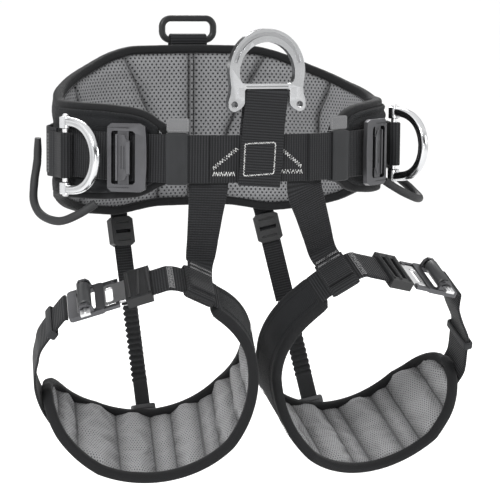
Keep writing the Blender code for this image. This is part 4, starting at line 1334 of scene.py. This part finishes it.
def leg_pad(loop):
    word = loop.word
    turns = span(loop.pad_from + 3, loop.pad_to - 3, 0.8)
    vs = [k / 30 for k in range(31)]
    outer_at = -LEG_SHELL_T + 0.2 * MM

    def across(a, v):
        """Places across the pad; each cushion's rear end bulges out between the sewn lines."""
        half = loop.half_width(a) - PAD_TRIM
        bulge = (3.0 * cushion(word, a)[0] - 1.2) * MM
        return (2 * v - 1) * half + bulge * v * v

    def inner(a, v):
        half = loop.half_width(a) - PAD_TRIM
        full = cushion(word, a)[0]
        ends = min(a - turns[0], turns[-1] - a) * 1.8 * MM
        inset = min(min(v, 1 - v) * 2 * half, ends)
        edge = dome(inset, 11 * MM) ** 0.7
        soft = 0.5 * MM * noise(Vector((a * 0.16, v * 5, loop.side * 3)))
        lift = 1.3 * MM + (7.6 * MM * full + soft) * edge
        return loop.point(a, across(a, v), outer_at - lift)

    def outer(a, v):
        return loop.point(a, across(a, v), outer_at)

    marks = {}
    u, last = 0.0, loop.point(turns[0])
    for a in turns:
        u += (loop.point(a) - last).length
        last = loop.point(a)
        marks[a] = u
    # The third measure is the painted shade near the sewn lines.
    pad = slab(f"leg_pad_cushions_{word}", turns, vs, inner, outer,
               lambda a, v: (marks[a], across(a, v), cushion(word, a)[1]))
    pinned = []
    rows, cols = len(turns), len(vs)
    for i, a in enumerate(turns):
        full = cushion(word, a)[0]
        for j in range(cols):
            pinned.append((rows * cols + i * cols + j, 1.0))
            if j in (0, cols - 1) or i in (0, rows - 1) or full < 0.25:
                pinned.append((i * cols + j, 1.0))
    inflate(pad, pinned, 4.0, 5 * MM)
    step = pad.modifiers.new("fine", "SUBSURF")
    step.levels = step.render_levels = 1
    settle(pad, LOOKS["leg_mesh"], f"leg_pad_{word}")


def leg_shell(loop):
    word = loop.word
    turns = span(loop.pad_from, loop.pad_to, 1.2)
    vs = [k / 16 for k in range(17)]

    def outer(a, v):
        half = loop.half_width(a) - 1.5 * MM
        wave = 0.35 * MM * noise(Vector((a * 0.07, v * 3, loop.side)))
        crown = 0.5 * MM * sin(pi * v)
        return loop.point(a, (2 * v - 1) * half, -0.5 * MM + crown * 0.4 + wave)

    def inner(a, v):
        return loop.point(a, (2 * v - 1) * (loop.half_width(a) - 1.5 * MM), -LEG_SHELL_T)

    shell = slab(f"leg_shell_cover_{word}", turns, vs, inner, outer,
                 lambda a, v: (radians(a) * 0.1, v * 0.1, 0.0))
    settle(shell, LOOKS["shell"], f"leg_shell_{word}")

    edge_r = 4.6 * MM
    middle = -5.2 * MM
    path = [(a, loop.half_width(a) - edge_r * 0.8) for a in turns]
    steps = [k / 7 for k in range(1, 7)]
    ring = path + [(loop.pad_to + 1.2, (1 - 2 * t) * path[-1][1]) for t in steps]
    ring += [(a, -h) for a, h in reversed(path)]
    ring += [(loop.pad_from - 1.2, (2 * t - 1) * path[0][1]) for t in steps]
    points = [loop.point(a, h, middle) for a, h in ring]
    ups = [loop.normal((a + 180) % 360 - 180) for a, _ in ring]
    tape = hose(f"leg_binding_tape_{word}", points, edge_r, 20, 1, True, 1.1, ups, lambda k, a: squared(a, 3))
    tape.data.materials.clear()
    tape.data.materials.append(LOOKS["binding"])
    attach(tape, "belt")
    lines = []
    for sign in (-1, 1):
        line = []
        for a in turns[1:-1]:
            half = loop.half_width(a) - 2 * edge_r - 0.6 * MM
            line.append((loop.point(a, sign * half, 0.25 * MM), loop.normal((a + 180) % 360 - 180)))
        lines.append(line)
    stitches(f"leg_shell_stitches_{word}", lines, LOOKS["dark_thread"], f"leg_shell_{word}", radius=0.35 * MM)


def leg_straps(loop):
    word = loop.word
    inner_end = loop.angle_at((ADJUSTER_AT + loop.size["shift"] + 0.4) * MM)
    turns = span(loop.pad_from - 1, inner_end, 4)
    points = [loop.point(a) for a in turns]
    band = strap(f"leg_top_band_{word}", points, loop.axis, LEG_WEBBING_W, WEBBING_T)
    settle(band, LOOKS["leg_web"], f"leg_top_webbing_{word}")
    at = {"right": (23, -11), "left": (15, -10)}[word]
    lines = []
    for k in range(3):
        a = at[0] + (k - 1) * 1.4
        line = [(loop.point(a, y * MM, WEBBING_T / 2 + 0.15 * MM), loop.normal(a)) for y in range(-18, 19, 4)]
        if k == 1:
            line = zigzag(line[0][0], line[-1][0], loop.normal(a), 2.2 * MM, 14)
        lines.append(line)
    stitches(f"leg_top_bartack_{word}", lines, LOOKS["grey_thread"],
             f"leg_top_webbing_{word}", radius=0.32 * MM, pitch=3.4 * MM, gap=0.08)

    ahead = [loop.frame((BUCKLE_AT + x) * MM).translation for x in (20, 24)]
    back = [loop.point(a, 0, out * MM) for a, out in loop.size["strap"]]
    path = smooth(ahead + back, 2)
    band = strap(f"leg_outer_band_{word}", path, loop.axis, LEG_WEBBING_W, WEBBING_T, 4)
    settle(band, LOOKS["leg_web"], f"leg_outer_webbing_{word}")
    held = loop.size["keeper"]
    forward = (path[held + 1] - path[held - 1]).normalized()
    outward = forward.cross(loop.axis).normalized()
    place = Matrix.Translation(path[held]) @ axes_of(forward, outward)
    keeper = sleeve(f"leg_keeper_elastic_{word}", place, LEG_WEBBING_W + 2 * GAP, WEBBING_T + 4 * MM, 8 * MM,
                    1.5 * MM, bulge=0.2 * MM)
    settle(keeper, LOOKS["elastic"], f"leg_keeper_{word}")


def front_leg_strap(loop):
    word = loop.word
    place = loop.tangent_frame(loop.size["junction"])
    junction = sleeve(f"strap_junction_block_{word}", place, LEG_WEBBING_W + 1.4 * MM, WEBBING_T + 3 * MM,
                      30 * MM, 2.1 * MM, corner=1.6 * MM, bulge=0.1 * MM)
    settle(junction, LOOKS["leg_web"], f"strap_junction_{word}")
    top_angle = 90 - loop.side * 16.6
    out = -LAYER - 1.4 * MM
    end = place @ Vector((0, 0, WEBBING_T + 1.5 * MM + 2.2 * MM + 2 * GAP))
    upper = [waist(top_angle, out, z * MM) for z in (16, 0, -16, -30)]
    lift = place.to_3x3() @ Vector((0, 1, 0))
    lift = lift if lift.z > 0 else -lift
    outward = place.to_3x3() @ Vector((0, 0, 1))
    corner = end + lift * 29 * MM + outward * 3 * MM
    path = upper + [upper[-1].lerp(corner, 0.35), upper[-1].lerp(corner, 0.7), corner,
                    end + lift * 12 * MM, end - lift * 16 * MM]
    tangent = (waist(top_angle - 1) - waist(top_angle + 1)).normalized()
    low = place.to_3x3() @ Vector((1, 0, 0))
    low = low if low.dot(tangent) > 0 else -low
    across = [tangent.lerp(low, s).normalized() for s in (0, 0, 0, 0.1, 0.5, 0.9, 1, 1, 1)]
    width = [w * MM for w in (38, 38, 38, 37, 33, 30, 28, 27, 27)]
    ribs = 2.5 * MM
    band = strap(f"front_leg_strap_band_{word}", path, across, width, WEBBING_T * 0.86, 24,
                 ripple=lambda u, v: 0.16 * MM * sin(2 * pi * u / ribs), flats=10)
    settle(band, LOOKS["leg_web"], f"front_leg_strap_{word}")
    face = outward if outward.y < 0 else -outward
    side = (low - lift * low.dot(lift)).normalized()
    lines = []
    for rise in (13.5, 18.5):
        middle = end + lift * rise * MM + face * (WEBBING_T / 2 + (0.3 + (rise - 12) * 0.17) * MM)
        lines.append(zigzag(middle - side * 12 * MM, middle + side * 12 * MM, face, 1.6 * MM, 13))
    stitches(f"front_leg_strap_bartacks_{word}", lines, LOOKS["grey_thread"], f"front_leg_strap_{word}",
             radius=0.3 * MM, pitch=3.2 * MM, gap=0.06)


def leg_adjuster(loop):
    word = loop.word
    wide = LEG_WEBBING_W / MM / 2 + 0.7
    inside = WEBBING_T / MM / 2 + 0.6
    top = inside + 3
    place = loop.frame(ADJUSTER_AT * MM)
    body = block(f"leg_adjuster_ladder_{word}", place, (-12.5, 12.5), (-wide - 3, wide + 3), (-top, top))
    cut(body, [block("mouth", place, (-30, 30), (-wide, wide), (-inside, inside))])
    for x in (-5.5, 4.5):
        cut(body, [block("slot", place, (x - 2.4, x + 2.4), (-17, 17), (1.1, 12))])
    for x, lean in ((-10.2, 2), (-0.5, -3), (9.2, 2)):
        spot = place @ Matrix.Translation((x * MM, 0, (top - 0.5) * MM))
        spot = spot @ Matrix.Rotation(radians(lean), 4, "Z")
        cut(body, [rod("bar", spot, -20 * MM, 20 * MM, 1.9 * MM, sides=20)], "UNION")
    settle(soften(body, 0.5 * MM), LOOKS["plastic"], f"leg_adjuster_{word}")

    spot = loop.frame((ADJUSTER_AT + 26) * MM)
    shape = mirrored([(-13, -16.5), (6, -16.5), (10.6, -14.6), (13, -11)])
    tongue = plate(f"leg_tongue_plate_{word}", spot, shape, 2.3, [rounded(7, 22, 2, (3, 0))])
    settle(soften(tongue, 0.45 * MM), LOOKS["steel"], f"leg_tongue_{word}")


def leg_buckle(loop):
    word = loop.word
    place = loop.frame(BUCKLE_AT * MM)
    body = plate(f"leg_buckle_frame_{word}", place, rounded(36, 45, 4), 5, [rounded(18, 34, 2)])
    cut(body, [block("mouth", place, (-30, -8), (-17.2, 17.2), (-1.6, 1.6))])
    cheek = [(-8, 0), (8, 0), (6.5, 9), (3.5, 12.5), (-3.5, 12.5), (-6.5, 9)]
    joined = []
    for sign in (-1, 1):
        stand = place @ Matrix.Translation((0, sign * 20 * MM, 0)) @ Matrix.Rotation(pi / 2, 4, "X")
        joined.append(plate("cheek", stand, cheek, 3.6))
        joined.append(block("arm", place, (-32, -14), (sign * 18.2, sign * 21.8), (-1.8, 1.8)))
        joined.append(block("foot", place, (-32, -28.5), (sign * 15.8, sign * 21.8), (-1.8, 1.8)))
    cut(body, joined, "UNION")
    spot = place @ Matrix.Translation((0, 0, 7.5 * MM))
    cut(body, [rod("bore", spot, -30 * MM, 30 * MM, 2.5 * MM)])
    settle(soften(body, 0.7 * MM), LOOKS["anodised"], f"leg_buckle_{word}")

    profile = ((-16.5, 5.4), (-15.6, 6.3), (-14.8, 6.6), (14.8, 6.6), (15.6, 6.3), (16.5, 5.4))
    roller = turned([(y * MM, r * MM) for y, r in profile], spot, f"leg_roller_barrel_{word}", 40)
    flutes = []
    for x, z in arc(0, 0, 7.05, 7.05, -36, 36, 2):
        centre = spot @ Matrix.Translation((x * MM, 0, z * MM))
        flutes.append(rod("flute", centre, -13 * MM, 13 * MM, 0.8 * MM, sides=12))
    cut(roller, flutes)
    roller.data.shade_smooth()
    roller.data.set_sharp_from_angle(angle=radians(35))
    settle(roller, LOOKS["roller"], f"leg_buckle_lever_{word}")
    front = 1 if (place.to_3x3() @ Vector((0, 1, 0))).y < 0 else -1
    pin = rod("pin", spot, *sorted((front * 30 * MM, -front * 21 * MM)), 2.1 * MM)
    tab = block("tab", spot, (-4.8, 4.8), (front * 23, front * 31), (-1.4, 1.4))
    lever = cut(pin, [tab], "UNION")
    lever.name = f"leg_lever_tab_{word}"
    settle(soften(lever, 0.45 * MM), LOOKS["steel"], f"leg_buckle_lever_{word}")


def riser(loop):
    word, side = loop.word, loop.side
    top_angle = 270 + side * RISER_ANGLE
    out = SHELL_OUT + 3 * GAP + RISER_T / 2
    clip_angle = loop.size["clip"]
    hook = loop.point(clip_angle, loop.half_width(clip_angle) + 3.4 * MM, -2 * MM)
    upper = [waist(top_angle, out, z * MM) for z in (-27, -50, -70)]
    run = hook - upper[-1]
    down = run.normalized()
    tangent = (waist(top_angle + 1) - waist(top_angle - 1)).normalized()
    across = (tangent - down * tangent.dot(down)).normalized()
    length = run.length
    elastic_from, elastic_to = 0.47, 1 - 6 * MM / length
    lower = [upper[-1] + run * f for f in (0.03, 0.25, elastic_from)]
    band = strap(f"riser_strap_band_{word}", upper + lower, tangent, RISER_W, RISER_T, 3)
    settle(band, LOOKS["leg_web"], f"riser_strap_{word}")

    axes = Matrix((down, across, down.cross(across))).transposed().to_4x4()
    place = Matrix.Translation(upper[-1] + run * 0.11) @ axes
    wide, thick = RISER_W / MM / 2 + 0.5, RISER_T / MM / 2 + 0.7
    wall = 2.6
    shape = mirrored([(-15, -9), (-12, -wide - wall), (12, -wide - wall), (15, -9)])
    slider = plate(f"riser_slider_moulded_{word}", place, shape, 2 * (thick + wall))
    tools = [block("mouth", place, (-30, 30), (-wide, wide), (-thick, thick)),
             block("slit", place, (-1.7, 1.7), (-8.6, 8.6), (-10, 10))]
    tools += [block("slit", place, (x - 0.8, x + 0.8), (-7.6, 7.6), (thick + 1.7, 10)) for x in (-9, 9)]
    settle(soften(cut(slider, tools), 0.6 * MM), LOOKS["plastic"], f"riser_adjuster_{word}")

    start = upper[-1] + run * (elastic_from + 0.3 * MM / length)
    end = upper[-1] + run * elastic_to
    flat_from = 0.76
    ridges = 14
    count = 260
    path = [start.lerp(end, k / count) for k in range(count + 1)]

    def gathered(u, v):
        """Soft cross folds where the elastic is drawn up, fading out on the flat end."""
        part = u / (end - start).length
        if part > flat_from:
            return 0.0
        phase = 2 * pi * ridges * part / flat_from + 0.5 * noise(Vector((v * 300, part * 9, side)))
        fold = 2 * abs(sin(phase / 2)) ** 0.8 - 1
        return 1.25 * MM * fold * ease(0.0, 0.03, part) * (1 - ease(flat_from - 0.05, flat_from, part))

    width = []
    for k in range(count + 1):
        part = k / count
        swell = 2 * abs(sin(pi * ridges * part / flat_from)) - 1 if part < flat_from else 0.0
        width.append(17 * MM + 1.1 * MM * swell)
    elastic = strap(f"elastic_riser_band_{word}", path, across, width, 2.0 * MM, 1, ripple=gathered, flats=8)
    settle(elastic, LOOKS["elastic"], f"elastic_riser_{word}")

    spot = Matrix.Translation(hook - down * 4.4 * MM) @ axes
    clip = plate(f"riser_clip_moulded_{word}", spot, rounded(9, 27, 2.5), 5)
    cut(clip, [block("groove", spot, (-0.7, 0.7), (-10, 10), (sign * 1.7, sign * 4)) for sign in (-1, 1)])
    settle(soften(clip, 0.7 * MM), LOOKS["clip"], f"riser_clip_{word}")


# ---------------------------------------------------------------- floor, light and camera

CAMERA_AZIMUTH, CAMERA_ELEVATION, CAMERA_ROLL = -20.0, 7.0, 0.5
CAMERA_DISTANCE, CAMERA_LENS = 2.2, 160.4
CAMERA_AIM = Vector((0.0253, -0.0226, -0.1026))
FLOOR_GAP = 0.06


def stage():
    camera = bpy.data.objects.new("camera", bpy.data.cameras.new("camera"))
    bpy.context.collection.objects.link(camera)
    az, el = radians(CAMERA_AZIMUTH), radians(CAMERA_ELEVATION)
    away = Vector((sin(az) * cos(el), -cos(az) * cos(el), sin(el)))
    aim = (-away).to_track_quat("-Z", "Y").to_matrix().to_4x4()
    place = Matrix.Translation(CAMERA_AIM + away * CAMERA_DISTANCE)
    camera.matrix_world = place @ aim @ Matrix.Rotation(radians(CAMERA_ROLL), 4, "Z")
    camera.data.lens = CAMERA_LENS
    camera.data.sensor_width = 36
    bpy.context.scene.camera = camera

    bm = bmesh.new()
    size = 60.0
    floor_z = CAD_BOX[0][2] - FLOOR_GAP
    corners = [bm.verts.new((x * size, y * size, floor_z)) for x, y in ((-1, -1), (1, -1), (1, 1), (-1, 1))]
    bm.faces.new(corners)
    floor = from_bmesh("floor", bm)
    floor.data.materials.append(floor_look())
    sky()
    for name, where, power, size in LIGHTS:
        light = bpy.data.objects.new(name, bpy.data.lights.new(name, "AREA"))
        light.data.energy = power
        light.data.size = size
        light.location = where
        light.rotation_euler = (Vector(where) - Vector((0, 0, -0.1))).to_track_quat("Z", "Y").to_euler()
        bpy.context.collection.objects.link(light)


LIGHTS = (("key", (-1.5, -1.5, 1.3), 44, 0.6), ("fill", (1.9, -1.2, 0.5), 13, 0.6),
          ("rear", (0.5, 1.8, 1.3), 26, 0.9), ("low", (-0.4, -2.2, -0.1), 5, 0.5))


def sky():
    """A studio dome: bright ceiling and horizon, darker walls, and two bright panels for the metal."""
    world = bpy.data.worlds.new("studio")
    world.use_nodes = True
    tree = world.node_tree
    split = tree.nodes.new("ShaderNodeSeparateXYZ")
    tree.links.new(tree.nodes.new("ShaderNodeTexCoord").outputs["Generated"], split.inputs[0])

    def ramp(value, low, high, start, end):
        made = tree.nodes.new("ShaderNodeMapRange")
        made.interpolation_type = "SMOOTHSTEP"
        tree.links.new(value, made.inputs["Value"])
        for key, number in (("From Min", low), ("From Max", high), ("To Min", start), ("To Max", end)):
            made.inputs[key].default_value = number
        return made.outputs["Result"]

    def add(a, b):
        made = tree.nodes.new("ShaderNodeMath")
        tree.links.new(a, made.inputs[0])
        tree.links.new(b, made.inputs[1])
        return made.outputs[0]

    ceiling = ramp(split.outputs["Z"], 0.3, 0.6, 0.1, 1.25)
    horizon = ramp(split.outputs["Z"], 0.14, 0.08, 0.0, 0.6)
    left = ramp(split.outputs["X"], -0.72, -0.86, 0.0, 1.1)
    right = ramp(split.outputs["X"], 0.8, 0.92, 0.0, 0.9)
    background = tree.nodes["Background"]
    background.inputs["Color"].default_value = (1, 1, 1, 1)
    tree.links.new(add(add(ceiling, horizon), add(left, right)), background.inputs["Strength"])
    bpy.context.scene.world = world
    bpy.context.scene.view_settings.view_transform = "Standard"


def build():
    stage()
    belt_pads()
    belt_binding()
    wing_pads()
    belt_webbing()
    belt_keepers()
    waist_buckles()
    side_rings()
    gear_loops()
    front_ring()
    front_strap()
    rear_attachment()
    for word in SIDES:
        loop = Loop(word)
        leg_pad(loop)
        leg_shell(loop)
        leg_straps(loop)
        front_leg_strap(loop)
        leg_adjuster(loop)
        leg_buckle(loop)
        riser(loop)


build()
